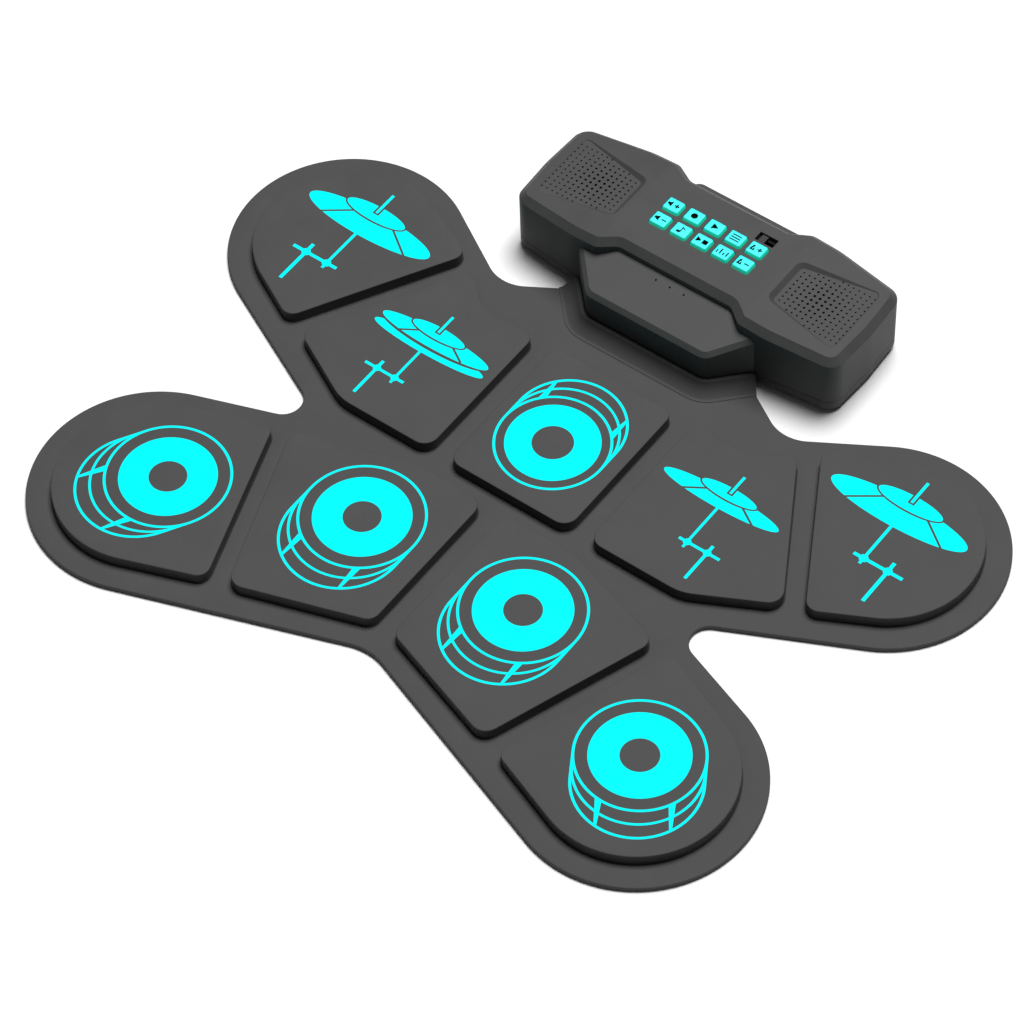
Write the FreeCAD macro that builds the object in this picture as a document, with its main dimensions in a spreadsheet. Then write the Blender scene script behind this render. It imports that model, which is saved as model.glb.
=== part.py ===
"""Roll-up electronic drum pad: a soft mat with nine striking pads and a speaker console.

Millimetres. X runs along the mat from the player's left to right, Y from the player to the
console and Z up. The origin is on the ground under the middle of the whole kit.
"""
import FreeCAD, Part
import math
import os
import re
import Sketcher

doc = FreeCAD.newDocument("drum_pad_kit")
sheet = doc.addObject("Spreadsheet::Sheet", "Dims")

# Every size that can be set by itself: name, value.
SIZES = {
    # mat outline, right half: arms with round ends, joined by hollow rounds
    "front_notch_y": -196.0, "front_notch_round": 35.6,
    "lower_arm_x": 168.7, "lower_arm_y": -141.9, "lower_arm_round": 71.8,
    "side_notch_x": 149.8, "side_notch_y": -46.5, "side_notch_round": 11.7,
    "upper_arm_x": 189.7, "upper_arm_y": 65.3, "upper_arm_round": 71.3,
    "neck_x": 100.0, "neck_y": 123.0, "neck_round": 24.4,
    "heel_x": 71.8, "heel_y": 109.7, "tongue_half_width": 58.0, "tongue_end_y": 119.5,
    # mat layers
    "base_sheet": 1.0, "film": 0.25, "skin": 1.75, "film_inset": 6.0, "film_tail_round": 7.5,
    "film_tail_inset": 16.0, "ribbon_slot_y": 113.5, "ribbon_slot_depth": 4.0, "slot_margin": 1.0,
    # pads
    "pad_thickness": 8.0, "pad_top": 10.25, "pad_edge_round": 0.7, "well_clearance": 0.35,
    "sensor_radius": 20.0, "sensor_thickness": 0.15, "centre_sensor_y": 12.0,
    "upper_inner_sensor_x": 101.0, "upper_inner_sensor_y": 34.0,
    "upper_outer_sensor_x": 190.0, "upper_outer_sensor_y": 65.0,
    "lower_inner_sensor_x": 56.0, "lower_inner_sensor_y": -100.0,
    "lower_outer_sensor_x": 163.0, "lower_outer_sensor_y": -134.0,
    "pad_gap": 13.8, "pad_margin": 15.2, "pad_corner": 9.0, "pad_small_corner": 6.0,
    "centre_pad_half_width": 42.3, "upper_row_front_y": -32.0, "upper_row_rear_y": 69.6,
    "upper_inner_bend_x": 112.0, "upper_inner_bend_round": 30.0,
    "upper_inner_outer_x": 157.5, "upper_inner_outer_y": -2.0,
    "upper_inner_peak_x": 113.0, "upper_inner_peak_y": 74.8,
    "upper_inner_hollow_x": 90.0, "upper_inner_hollow_round": 10.0,
    "upper_outer_tip_x": 185.0, "upper_outer_tip_y": 8.1,
    "upper_outer_corner_x": 136.0, "upper_outer_corner_y": 94.0, "outer_corner": 7.5,
    "lower_row_rear_y": -44.5, "lower_inner_bend_x": 50.0, "lower_inner_bend_round": 40.0,
    "lower_inner_top_x": 117.5, "lower_inner_top_y": -72.0,
    "lower_inner_front_x": 83.0, "lower_inner_front_y": -162.0, "lower_inner_heel_y": -141.0,
    "lower_outer_front_x": 110.0, "lower_outer_front_y": -172.5,
    "lower_outer_top_x": 142.5, "lower_outer_top_y": -78.5,
    # console case
    "case_half_width": 114.5, "case_bow": 60.0, "case_middle_y": 161.5, "case_corner": 10.0,
    "case_corner_inset": 11.2, "case_front_corner_y": 136.2, "case_rear_corner_y": 186.9,
    "case_front_y": 122.0, "case_rear_y": 201.7, "front_bow_x": 64.0, "rear_bow_x": 62.0,
    "notch_round": 6.0, "front_notch_wing_x": 52.0, "front_notch_side_x": 37.5, "front_notch_depth": 8.0,
    "rear_notch_wing_x": 48.5, "rear_notch_side_x": 33.5, "rear_notch_depth": 6.5,
    "foot_height": 1.5, "foot_radius": 5.0, "foot_socket_depth": 0.8, "foot_x": 86.0,
    "foot_front_y": 141.0, "foot_rear_y": 184.0,
    "seam_z": 9.0, "seam_gap": 0.3, "case_top_z": 47.7, "case_wall": 2.4, "case_edge": 4.2,
    "case_floor_round": 2.6, "wing_break_x": 50.0, "wing_drop_angle": 3.4, "wing_ceiling_z": 41.8,
    "middle_ceiling_z": 45.3, "middle_half_width": 43.0, "middle_front_y": 141.0, "middle_rear_y": 189.0,
    # ports block behind the console
    "block_half_width": 43.5, "block_rear_y": 213.7, "block_top_z": 23.0, "block_wall": 2.0,
    "block_foot_half_width": 31.0, "block_front_y": 195.5, "block_edge": 1.2,
    "port_z": 15.0, "port_nose_radius": 3.3, "port_bore_radius": 1.8, "port_bore_length": 14.0,
    "port_body_width": 11.0, "port_body_depth": 12.0, "port_body_height": 10.9,
    "usb_width": 9.0, "usb_height": 3.4, "usb_depth": 9.0, "usb_z": 11.5,
    "port_pitch": 15.0, "fit_gap": 0.3, "port_board_thickness": 1.6, "port_board_half_width": 32.0,
    # grilles and speakers
    "grille_inner_x": 59.5, "grille_pitch_x": 3.66, "grille_pitch_y": 3.6, "grille_y": 161.9,
    "grille_floor_z": 45.0, "grille_tilt": 1.03, "grille_recess_inner_x": 56.4,
    "grille_recess_outer_x": 104.0, "grille_recess_inner_half": 15.5, "grille_recess_outer_half": 24.4,
    "grille_recess_round": 3.0, "grille_wall_spread": 3.9, "grille_wall_rise": 3.2,
    "grille_hole_rim": 0.5, "grille_hole_middle": 0.9,
    "speaker_x": 81.5, "speaker_radius": 20.0, "speaker_depth": 15.0, "speaker_gasket": 1.0,
    "magnet_radius": 11.0, "magnet_height": 6.0, "cone_wall": 0.6, "basket_wall": 1.0,
    # keys
    "key_pitch_x": 14.55, "key_pitch_y": 13.2, "key_rear_row_y": 170.3, "key_width": 11.6, "key_depth": 10.2,
    "key_corner": 1.6, "key_top_z": 49.4, "key_clearance": 0.3, "key_flange": 0.9, "key_flange_height": 1.2,
    "key_stem_radius": 1.8, "key_board_z": 38.6, "key_board_thickness": 1.6, "key_gap": 1.1,
    "key_web": 0.8, "key_edge_round": 0.8, "key_post_x": 38.5, "key_post_front_y": 148.5,
    "key_post_rear_y": 185.5, "key_post_radius": 2.2,
    # slide switch
    "switch_x": 29.0, "switch_y": 180.6, "switch_slot_width": 12.5, "switch_slot_depth": 6.6,
    "switch_knob_width": 4.0, "switch_knob_depth": 5.4, "switch_knob_top_z": 47.0, "switch_travel": 4.5,
    "switch_body_width": 13.2, "switch_body_depth": 7.4, "switch_body_height": 4.6, "switch_stem": 2.0,
    # dock in front of the console
    "dock_front_y": 100.4, "dock_front_half_width": 37.5, "dock_front_round": 9.5,
    "dock_rear_half_width": 61.0, "dock_front_z": 29.5, "dock_slope": 20.0, "dock_edge": 2.4,
    "dock_wall": 2.0, "dock_foot_z": 5.0, "dock_hole_radius": 0.6, "dock_hole_pitch": 9.75,
    "dock_hole_y": 125.3, "dock_boss_radius": 1.2, "dock_boss_x": 12.7, "collar_spread": 12.5, "collar_rim": 1.6, "collar_height": 7.2,
    "ribbon_width": 24.0, "ribbon": 0.3, "ribbon_lift": 8.0, "ribbon_drop_y": 136.0, "cable_passage_height": 9.0,
    "led_radius": 0.5, "led_height": 3.4, "led_board_thickness": 1.0, "led_board_width": 29.2,
    "led_board_depth": 4.4, "led_board_drop": 3.0,
    # boards, battery and fasteners
    "board_half_width": 46.0, "board_front_y": 142.0, "board_rear_y": 188.0, "board_z": 14.0,
    "board_thickness": 1.6, "boss_radius": 3.0, "board_screw_radius": 1.2,
    "battery_x": 78.0, "battery_length": 34.0, "battery_width": 34.0, "battery_height": 7.0,
    "battery_strap": 1.2, "screw_radius": 1.4, "screw_head_radius": 2.6, "screw_head_height": 1.6,
    "screw_length": 12.0, "screw_boss_radius": 3.4, "screw_sink": 1.0, "board_screw_bite": 4.0,
    "outer_screw_x": 99.0, "outer_screw_front_y": 143.0, "outer_screw_rear_y": 181.0,
    "inner_screw_x": 52.0, "inner_screw_front_y": 150.0, "inner_screw_rear_y": 186.0,
}
for row, (alias, size) in enumerate(SIZES.items(), 1):
    sheet.set(f"A{row}", alias)
    sheet.set(f"B{row}", str(size))
    sheet.setAlias(f"B{row}", alias)
doc.recompute()

nodes = {}


def bind(words):
    """Turns size names into references to the sheet."""
    return re.sub(r"[a-z][a-z_]+", lambda m: "Dims." + m.group() if m.group() in SIZES else m.group(), words)


def size(words):
    return float(sheet.evalExpression(bind(words)))


def piece(label, z="0", x="0", y="0"):
    body = doc.addObject("PartDesign::Body", label)
    body.Label = label
    for axis, words in (("x", x), ("y", y), ("z", z)):
        body.setExpression("Placement.Base." + axis, bind(words))
    nodes[label] = body
    return body


def sketch(body, name, plane="XY_Plane", lift="0"):
    plan = body.newObject("Sketcher::SketchObject", f"{body.Label}_{name}")
    datum = [feature for feature in body.Origin.OriginFeatures if feature.Role == plane][0]
    plan.AttachmentSupport = [(datum, "")]
    plan.MapMode = "FlatFace"
    plan.setExpression("AttachmentOffset.Base.z", bind(lift))
    return plan


def fix(plan, rules):
    """Adds dimensions to a sketch, each (kind, places, words), and ties them to the sheet."""
    made = plan.addConstraint([Sketcher.Constraint(kind, *places, size(words)) for kind, places, words in rules])
    for index, (_, _, words) in zip(made, rules):
        plan.setExpression(f"Constraints[{index}]", bind(words))


def discs(plan, rings):
    """Circles, each (x, y, radius)."""
    up = FreeCAD.Vector(0, 0, 1)
    first = plan.GeometryCount
    plan.addGeometry([Part.Circle(FreeCAD.Vector(size(x), size(y), 0), up, size(radius)) for x, y, radius in rings],
                     False)
    rules = []
    for i, (x, y, radius) in enumerate(rings, first):
        rules += [("DistanceX", (-1, 1, i, 3), x), ("DistanceY", (-1, 1, i, 3), y), ("Radius", (i,), radius)]
    fix(plan, rules)


def disc(plan, x, y, radius):
    discs(plan, [(x, y, radius)])


def polygon(plan, corners):
    points = [FreeCAD.Vector(size(x), size(y), 0) for x, y in corners]
    count = len(points)
    first = plan.GeometryCount
    plan.addGeometry([Part.LineSegment(points[i - 1], points[i]) for i in range(count)], False)
    plan.addConstraint([Sketcher.Constraint("Coincident", first + i - 1, 2, first + i, 1) for i in range(1, count)]
                       + [Sketcher.Constraint("Coincident", first + count - 1, 2, first, 1)])
    rules = []
    for i, (x, y) in enumerate(corners, first):
        rules += [("DistanceX", (-1, 1, i, 2), x), ("DistanceY", (-1, 1, i, 2), y)]
    fix(plan, rules)


def rectangle(plan, x, y, width, depth):
    left, right = f"{x} - ({width}) / 2", f"{x} + ({width}) / 2"
    near, far = f"{y} - ({depth}) / 2", f"{y} + ({depth}) / 2"
    polygon(plan, [(left, near), (right, near), (right, far), (left, far)])


def mirrored(rounds):
    return [(f"-({each[0]})", *each[1:]) for each in reversed(rounds)]


def belt(plan, rounds, grow="0"):
    """A closed outline pulled round a ring of circles, counter-clockwise.

    Each round is (x, y, radius), or (x, y, radius, "hollow") where the outline passes inside it.
    grow moves the whole outline outwards.
    """
    circles = []
    for each in rounds:
        side = -1 if each[3:] else 1
        words = f"{each[2]} {'-' if each[3:] else '+'} ({grow})"
        circles.append((size(each[0]), size(each[1]), side * size(words), words, each))
    count = len(circles)
    headings = []
    for i in range(count):
        x0, y0, r0 = circles[i][:3]
        x1, y1, r1 = circles[(i + 1) % count][:3]
        gap = math.hypot(x1 - x0, y1 - y0)
        headings.append(math.atan2(y1 - y0, x1 - x0) - math.asin((r1 - r0) / gap))
    first = plan.GeometryCount
    shapes = []
    for i in range(count):
        x, y, reach, words, each = circles[i]
        start, end = headings[i - 1] - math.pi / 2, headings[i] - math.pi / 2
        if reach < 0:
            start, end = headings[i] + math.pi / 2, headings[i - 1] + math.pi / 2
        while end <= start:
            end += 2 * math.pi
        while end - start > 2 * math.pi:
            end -= 2 * math.pi
        circle = Part.Circle(FreeCAD.Vector(x, y, 0), FreeCAD.Vector(0, 0, 1), abs(reach))
        shapes.append(Part.ArcOfCircle(circle, start, end))
    for i in range(count):
        here, after = circles[i], circles[(i + 1) % count]
        turn = headings[i] - math.pi / 2
        side = FreeCAD.Vector(math.cos(turn), math.sin(turn), 0)
        start = FreeCAD.Vector(here[0], here[1], 0) + side * here[2]
        end = FreeCAD.Vector(after[0], after[1], 0) + side * after[2]
        shapes.append(Part.LineSegment(start, end))
    plan.addGeometry(shapes, False)
    joints = []
    for i in range(count):
        leaving = 2 if circles[i][2] > 0 else 1
        following = (i + 1) % count
        arriving = 1 if circles[following][2] > 0 else 2
        line = first + count + i
        joints += [Sketcher.Constraint("Tangent", first + i, leaving, line, 1),
                   Sketcher.Constraint("Tangent", line, 2, first + following, arriving)]
    plan.addConstraint(joints)
    rules = []
    for i, (_, _, _, words, each) in enumerate(circles, first):
        rules += [("DistanceX", (-1, 1, i, 3), each[0]), ("DistanceY", (-1, 1, i, 3), each[1]),
                  ("Radius", (i,), words)]
    fix(plan, rules)


def feature(body, kind, plan, length=None, **settings):
    made = body.newObject("PartDesign::" + kind, f"{plan.Name}_{kind.lower()}")
    made.Profile = plan
    if length:
        made.setExpression("Length", bind(length))
    for name, setting in settings.items():
        setattr(made, name, setting)
    return made


def pad(body, plan, length, **settings):
    return feature(body, "Pad", plan, length, **settings)


def pocket(body, plan, length=None, **settings):
    """Cuts along the sketch's -Z, or +Z where Reversed is set; through everything with no length."""
    if not length:
        settings.update(Type="ThroughAll", SideType="Symmetric")
    return feature(body, "Pocket", plan, length, **settings)


def cut_behind(body, y):
    """Cuts away everything behind y."""
    plan = sketch(body, "rear_cut")
    rectangle(plan, "0", f"{y} + 100", "400", "200")
    pocket(body, plan)


def edges_where(shape, test):
    return [f"Edge{i}" for i, edge in enumerate(shape.Edges, 1) if test(edge)]


def dress(body, kind, test, words):
    """Rounds (Fillet) or bevels (Chamfer) the edges of the body's newest shape that pass the test."""
    doc.recompute()
    base = body.Tip
    made = body.newObject("PartDesign::" + kind, f"{body.Label}_{kind.lower()}_{len(body.Group)}")
    made.Base = (base, edges_where(base.Shape, test))
    made.setExpression("Radius" if kind == "Fillet" else "Size", bind(words))
    return made


def level(z, reach=0.01):
    """Tests for edges that lie at one height of their body."""
    return lambda edge: abs(edge.BoundBox.ZMin - z) < reach and abs(edge.BoundBox.ZMax - z) < reach


def joined(label, kind, first, second):
    """A cut, fuse or common of two shapes as one sub-part."""
    made = doc.addObject("Part::" + kind, label)
    made.Label = label
    made.Base = first
    made.Tool = second
    nodes[label] = made
    return made


def group(label, parts):
    made = doc.addObject("Part::Compound", label)
    made.Label = label
    made.Links = parts
    nodes[label] = made
    return made


def rod(name, radius, length, x, y, z):
    made = doc.addObject("Part::Cylinder", name)
    made.setExpression("Radius", bind(radius))
    made.setExpression("Height", bind(length))
    for axis, words in (("x", x), ("y", y), ("z", z)):
        made.setExpression("Placement.Base." + axis, bind(words))
    return made


def block(name, width, depth, height, x, y, z):
    """A box centred on x and y, standing on z."""
    made = doc.addObject("Part::Box", name)
    for side, words in (("Length", width), ("Width", depth), ("Height", height)):
        made.setExpression(side, bind(words))
    made.setExpression("Placement.Base.x", bind(f"{x} - ({width}) / 2"))
    made.setExpression("Placement.Base.y", bind(f"{y} - ({depth}) / 2"))
    made.setExpression("Placement.Base.z", bind(z))
    return made


# ---------------------------------------------------------------- outlines
MAT_SIDE = [
    ("lower_arm_x", "lower_arm_y", "lower_arm_round"),
    ("side_notch_x", "side_notch_y", "side_notch_round", "hollow"),
    ("upper_arm_x", "upper_arm_y", "upper_arm_round"),
    ("neck_x", "neck_y", "neck_round", "hollow"),
    ("tongue_half_width", "tongue_end_y - 2", "2"),
]
FRONT_NOTCH = [("0", "front_notch_y", "front_notch_round", "hollow")]
MAT = FRONT_NOTCH + MAT_SIDE + mirrored(MAT_SIDE)

CENTRE_SIDE = [
    ("centre_pad_half_width - pad_corner", "upper_row_front_y + pad_corner", "pad_corner"),
    ("centre_pad_half_width - pad_small_corner", "upper_row_rear_y - pad_small_corner", "pad_small_corner"),
]
INNER_EDGE = "centre_pad_half_width + pad_gap"
UPPER_INNER = [
    (INNER_EDGE + " + pad_corner", "upper_row_front_y + pad_corner", "pad_corner"),
    ("upper_inner_bend_x", "upper_row_front_y + upper_inner_bend_round", "upper_inner_bend_round"),
    ("upper_inner_outer_x", "upper_inner_outer_y", "pad_corner"),
    ("upper_inner_peak_x", "upper_inner_peak_y", "pad_corner"),
    ("upper_inner_hollow_x", "upper_row_rear_y + upper_inner_hollow_round", "upper_inner_hollow_round", "hollow"),
    (INNER_EDGE + " + pad_small_corner", "upper_row_rear_y - pad_small_corner", "pad_small_corner"),
]
UPPER_OUTER = [
    ("upper_outer_tip_x", "upper_outer_tip_y", "outer_corner"),
    ("upper_arm_x", "upper_arm_y", "upper_arm_round - pad_margin"),
    ("upper_outer_corner_x", "upper_outer_corner_y", "outer_corner"),
]
LOWER_INNER = [
    ("pad_gap / 2 + outer_corner", "lower_inner_heel_y", "outer_corner"),
    ("lower_inner_front_x", "lower_inner_front_y", "pad_corner"),
    ("lower_inner_top_x", "lower_inner_top_y", "outer_corner"),
    ("lower_inner_bend_x", "lower_row_rear_y - lower_inner_bend_round", "lower_inner_bend_round"),
    ("pad_gap / 2 + pad_corner", "lower_row_rear_y - pad_corner", "pad_corner"),
]
LOWER_OUTER = [
    ("lower_outer_front_x", "lower_outer_front_y", "outer_corner"),
    ("lower_arm_x", "lower_arm_y", "lower_arm_round - pad_margin"),
    ("lower_outer_top_x", "lower_outer_top_y", "outer_corner"),
]
# pad name, its outline, and the middle of the sensor under it
PADS = {
    "bass_drum_pad": (CENTRE_SIDE + mirrored(CENTRE_SIDE), ("0", "centre_sensor_y")),
    "ride_pad": (UPPER_INNER, ("upper_inner_sensor_x", "upper_inner_sensor_y")),
    "hi_hat_pad": (mirrored(UPPER_INNER), ("-upper_inner_sensor_x", "upper_inner_sensor_y")),
    "splash_pad": (UPPER_OUTER, ("upper_outer_sensor_x", "upper_outer_sensor_y")),
    "crash_pad": (mirrored(UPPER_OUTER), ("-upper_outer_sensor_x", "upper_outer_sensor_y")),
    "high_tom_pad": (LOWER_INNER, ("lower_inner_sensor_x", "lower_inner_sensor_y")),
    "snare_pad": (mirrored(LOWER_INNER), ("-lower_inner_sensor_x", "lower_inner_sensor_y")),
    "floor_tom_pad": (LOWER_OUTER, ("lower_outer_sensor_x", "lower_outer_sensor_y")),
    "low_tom_pad": (mirrored(LOWER_OUTER), ("-lower_outer_sensor_x", "lower_outer_sensor_y")),
}

CORNER_X = "case_half_width - case_corner_inset"
CASE_FRONT_SIDE = [
    ("front_notch_wing_x", "case_front_y + notch_round", "notch_round"),
    ("front_bow_x", "case_front_y + case_bow", "case_bow"),
    (CORNER_X, "case_front_corner_y", "case_corner"),
    ("case_half_width - case_bow", "case_middle_y", "case_bow"),
    (CORNER_X, "case_rear_corner_y", "case_corner"),
    ("rear_bow_x", "case_rear_y - case_bow", "case_bow"),
    ("rear_notch_wing_x", "case_rear_y - notch_round", "notch_round"),
]
FRONT_NOTCH_SIDE = [
    ("front_notch_side_x", "case_front_y + front_notch_depth - notch_round", "notch_round", "hollow"),
]
REAR_NOTCH_SIDE = [("rear_notch_side_x", "case_rear_y - rear_notch_depth + notch_round", "notch_round", "hollow")]
BLOCK_CORNER = [("block_half_width - notch_round", "block_rear_y - notch_round", "notch_round")]
CASE_SIDE = FRONT_NOTCH_SIDE + CASE_FRONT_SIDE + REAR_NOTCH_SIDE
CASE = CASE_SIDE + mirrored(CASE_SIDE)
BLOCK_NECK = [("rear_notch_wing_x + 4", "case_rear_y + notch_round", "notch_round", "hollow")]
TRAY_SIDE = FRONT_NOTCH_SIDE + CASE_FRONT_SIDE[:-1] + BLOCK_NECK + BLOCK_CORNER
TRAY = TRAY_SIDE + mirrored(TRAY_SIDE)
BLOCK_SIDE = [("block_foot_half_width - 1", "block_front_y + 4", "4")] + BLOCK_CORNER
BLOCK = BLOCK_SIDE + mirrored(BLOCK_SIDE)

DOCK_REAR_Y = "case_front_y - fit_gap"
DOCK_SIDE = [
    ("dock_front_half_width", "dock_front_y + dock_front_round", "dock_front_round"),
    ("dock_rear_half_width + 3.6", "case_front_y + 7", "3"),
]
DOCK = DOCK_SIDE + mirrored(DOCK_SIDE)
DOCK_TONGUE_SIDE = [
    ("front_notch_wing_x + 1", DOCK_REAR_Y + " - 3.5", "3.5"),
    ("front_notch_wing_x", "case_front_y + notch_round", "notch_round + fit_gap", "hollow"),
    ("front_notch_side_x", "case_front_y + front_notch_depth - notch_round", "notch_round - fit_gap"),
]
DOCK_TONGUE = DOCK_TONGUE_SIDE + mirrored(DOCK_TONGUE_SIDE)

SKIN_Z = "base_sheet + film"
MAT_TOP = "base_sheet + film + skin"
PAD_FOOT = "pad_top - pad_thickness"
RIBBON_SLOT = ("0", "ribbon_slot_y", "ribbon_width + 2 * slot_margin", "ribbon_slot_depth")


# ---------------------------------------------------------------- mat
def mat_base():
    body = piece("mat_base_sheet")
    plan = sketch(body, "outline")
    belt(plan, MAT)
    pad(body, plan, "base_sheet")


def mat_film():
    body = piece("sensor_film", z="base_sheet")
    plan = sketch(body, "outline")
    side = MAT_SIDE[:-1] + [("tongue_half_width - film_tail_inset", "tongue_end_y - 2", "film_tail_round")]
    belt(plan, FRONT_NOTCH + side + mirrored(side), grow="-film_inset")
    pad(body, plan, "film")


def mat_skin():
    body = piece("mat_top_skin", z=SKIN_Z)
    plan = sketch(body, "outline")
    belt(plan, MAT)
    rectangle(plan, *RIBBON_SLOT)
    pad(body, plan, "skin")
    for name, (outline, _) in PADS.items():
        well = sketch(body, name + "_well")
        belt(well, outline, grow="well_clearance")
        pocket(body, well)


def mat_sensors():
    group("pad_sensors", [rod(name + "_sensor", "sensor_radius", "sensor_thickness", x, y, SKIN_Z)
                          for name, (_, (x, y)) in PADS.items()])


def striking_pad(name, outline):
    body = piece(name, z=PAD_FOOT)
    plan = sketch(body, "outline")
    belt(plan, outline)
    pad(body, plan, "pad_thickness")
    dress(body, "Fillet", level(size("pad_thickness")), "pad_edge_round")


def mat_collar():
    """The soft moulding that slopes up from the mat and hugs the foot of the dock."""
    body = piece("mat_collar", z=MAT_TOP)
    foot = sketch(body, "foot")
    belt(foot, DOCK, grow="collar_spread")
    rim = sketch(body, "rim", lift="collar_height")
    belt(rim, DOCK, grow="collar_rim")
    slope = body.newObject("PartDesign::AdditiveLoft", "collar_slope")
    slope.Profile = foot
    slope.Sections = [rim]
    slope.Ruled = True
    trim = sketch(body, "trim")
    belt(trim, DOCK, grow="fit_gap")
    pocket(body, trim)
    cut_behind(body, "case_front_y - 2 * fit_gap")
    for name, side in (("right", ""), ("left", "-")):
        corner = sketch(body, name + "_end")
        polygon(corner, [(f"{side}(heel_x + 0.4)", "heel_y - 12"), (f"{side}(heel_x + 0.4)", "heel_y + 0.4"),
                         (f"{side}(tongue_half_width + 5)", "case_front_y"),
                         (f"{side}(heel_x + 40)", "case_front_y"), (f"{side}(heel_x + 40)", "heel_y - 12")])
        pocket(body, corner)


# ---------------------------------------------------------------- dock
RIBBON_LEVEL = "base_sheet + film + ribbon_lift"
LED_BOARD_TOP = ("dock_front_z + (dock_hole_y - dock_front_y) * tan(dock_slope * 1 deg)"
                 " - dock_wall - led_board_drop")


def dock_wedge(name, grow, drop):
    """A dock-shaped block with a sloping top, drop mm under the real one and grown by grow."""
    body = doc.addObject("PartDesign::Body", name)
    body.Label = name
    body.setExpression("Placement.Base.z", bind("dock_foot_z"))
    for part, outline in (("wedge", DOCK), ("tongue", DOCK_TONGUE)):
        plan = sketch(body, part)
        belt(plan, outline, grow=grow)
        pad(body, plan, "dock_front_z + 20")
        if outline is DOCK:
            cut_behind(body, DOCK_REAR_Y)
    top = sketch(body, "slope", plane="YZ_Plane")
    near, far = "dock_front_y - 20", "case_front_y + 30"
    height = "dock_front_z - dock_foot_z - (" + drop + ")"
    polygon(top, [(near, height + " - 20 * tan(dock_slope * 1 deg)"),
                  (far, height + " + (case_front_y + 30 - dock_front_y) * tan(dock_slope * 1 deg)"),
                  (far, "dock_front_z + 60"), (near, "dock_front_z + 60")])
    pocket(body, top)
    return body


def dock():
    outer = dock_wedge("dock_outer", "0", "0")
    slope_side = math.tan(math.radians(size("dock_slope")))
    front = size("dock_front_y")
    top = size("dock_front_z - dock_foot_z")
    rear = size(DOCK_REAR_Y)

    def on_rim(edge):
        box = edge.BoundBox
        middle = edge.CenterOfMass
        on_slope = abs(middle.z - (top + (middle.y - front) * slope_side)) < 0.3
        return on_slope and box.YMin < rear - 2

    dress(outer, "Chamfer", on_rim, "dock_edge")
    inner = dock_wedge("dock_inner", "-dock_wall", "dock_wall")
    holes = [rod(f"dock_hole_{i}", "dock_hole_radius", "60", f"{i} * dock_hole_pitch", "dock_hole_y", "0")
             for i in (-1, 0, 1)]
    passage = block("dock_ribbon_passage", "ribbon_width + 2 * slot_margin", "ribbon_drop_y - dock_hole_y",
                    f"{RIBBON_LEVEL} + ribbon + slot_margin", "0", "(ribbon_drop_y + dock_hole_y) / 2", "0")
    hollow = doc.addObject("Part::MultiFuse", "dock_hollow")
    hollow.Shapes = [inner, passage] + holes
    bosses = doc.addObject("Part::Compound", "dock_bosses")
    bosses.Links = [rod(f"dock_boss_{i}", "dock_boss_radius", "led_board_drop + 2 * dock_wall",
                        f"{i} * dock_boss_x", "dock_hole_y", LED_BOARD_TOP) for i in (-1, 1)]
    kept = doc.addObject("Part::Cut", "dock_hollow_round_bosses")
    kept.Base = hollow
    kept.Tool = bosses
    joined("dock_cover", "Cut", outer, kept)


def dock_clamp():
    body = piece("dock_clamp_plate", z=MAT_TOP)
    plan = sketch(body, "outline")
    belt(plan, DOCK, grow="-fit_gap")
    rectangle(plan, *RIBBON_SLOT)
    pad(body, plan, f"dock_foot_z - ({MAT_TOP})")
    cut_behind(body, DOCK_REAR_Y)


def indicators():
    """Three indicator lamps on a small board hung from two bosses under the dock's roof."""
    leds = [rod(f"led_{i}", "led_radius", "led_height", f"{i} * dock_hole_pitch", "dock_hole_y", LED_BOARD_TOP)
            for i in (-1, 0, 1)]
    group("indicator_leds", leds)
    nodes["led_board"] = block("led_board", "led_board_width", "led_board_depth", "led_board_thickness",
                               "0", "dock_hole_y", LED_BOARD_TOP + " - led_board_thickness")


def ribbon():
    """The flat tail of the film, folded up through the mat and back to the main board."""
    body = piece("ribbon_cable")
    plan = sketch(body, "path", plane="YZ_Plane")
    landing = "board_z + board_thickness"
    bend, end = "ribbon_drop_y + 4", "board_front_y + 4"
    polygon(plan, [("ribbon_slot_y", SKIN_Z), ("ribbon_slot_y + ribbon", SKIN_Z),
                   ("ribbon_slot_y + ribbon", RIBBON_LEVEL), ("ribbon_drop_y", RIBBON_LEVEL),
                   (bend, landing), (end, landing), (end, landing + " + ribbon"),
                   (bend + " - 0.2", landing + " + ribbon"), ("ribbon_drop_y - 0.2", RIBBON_LEVEL + " + ribbon"),
                   ("ribbon_slot_y", RIBBON_LEVEL + " + ribbon")])
    pad(body, plan, "ribbon_width", SideType="Symmetric")


# ---------------------------------------------------------------- console case
def corners(x, front, rear):
    return [(f"{side}({x})", y) for side in ("-", "") for y in (front, rear)]


FEET = corners("foot_x", "foot_front_y", "foot_rear_y")
CASE_SCREWS = (corners("outer_screw_x", "outer_screw_front_y", "outer_screw_rear_y")
               + corners("inner_screw_x", "inner_screw_front_y", "inner_screw_rear_y"))
BOARD_POSTS = corners("board_half_width - 4", "board_front_y + 4", "board_rear_y - 4")
KEY_POSTS = corners("key_post_x", "key_post_front_y", "key_post_rear_y")


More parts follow.
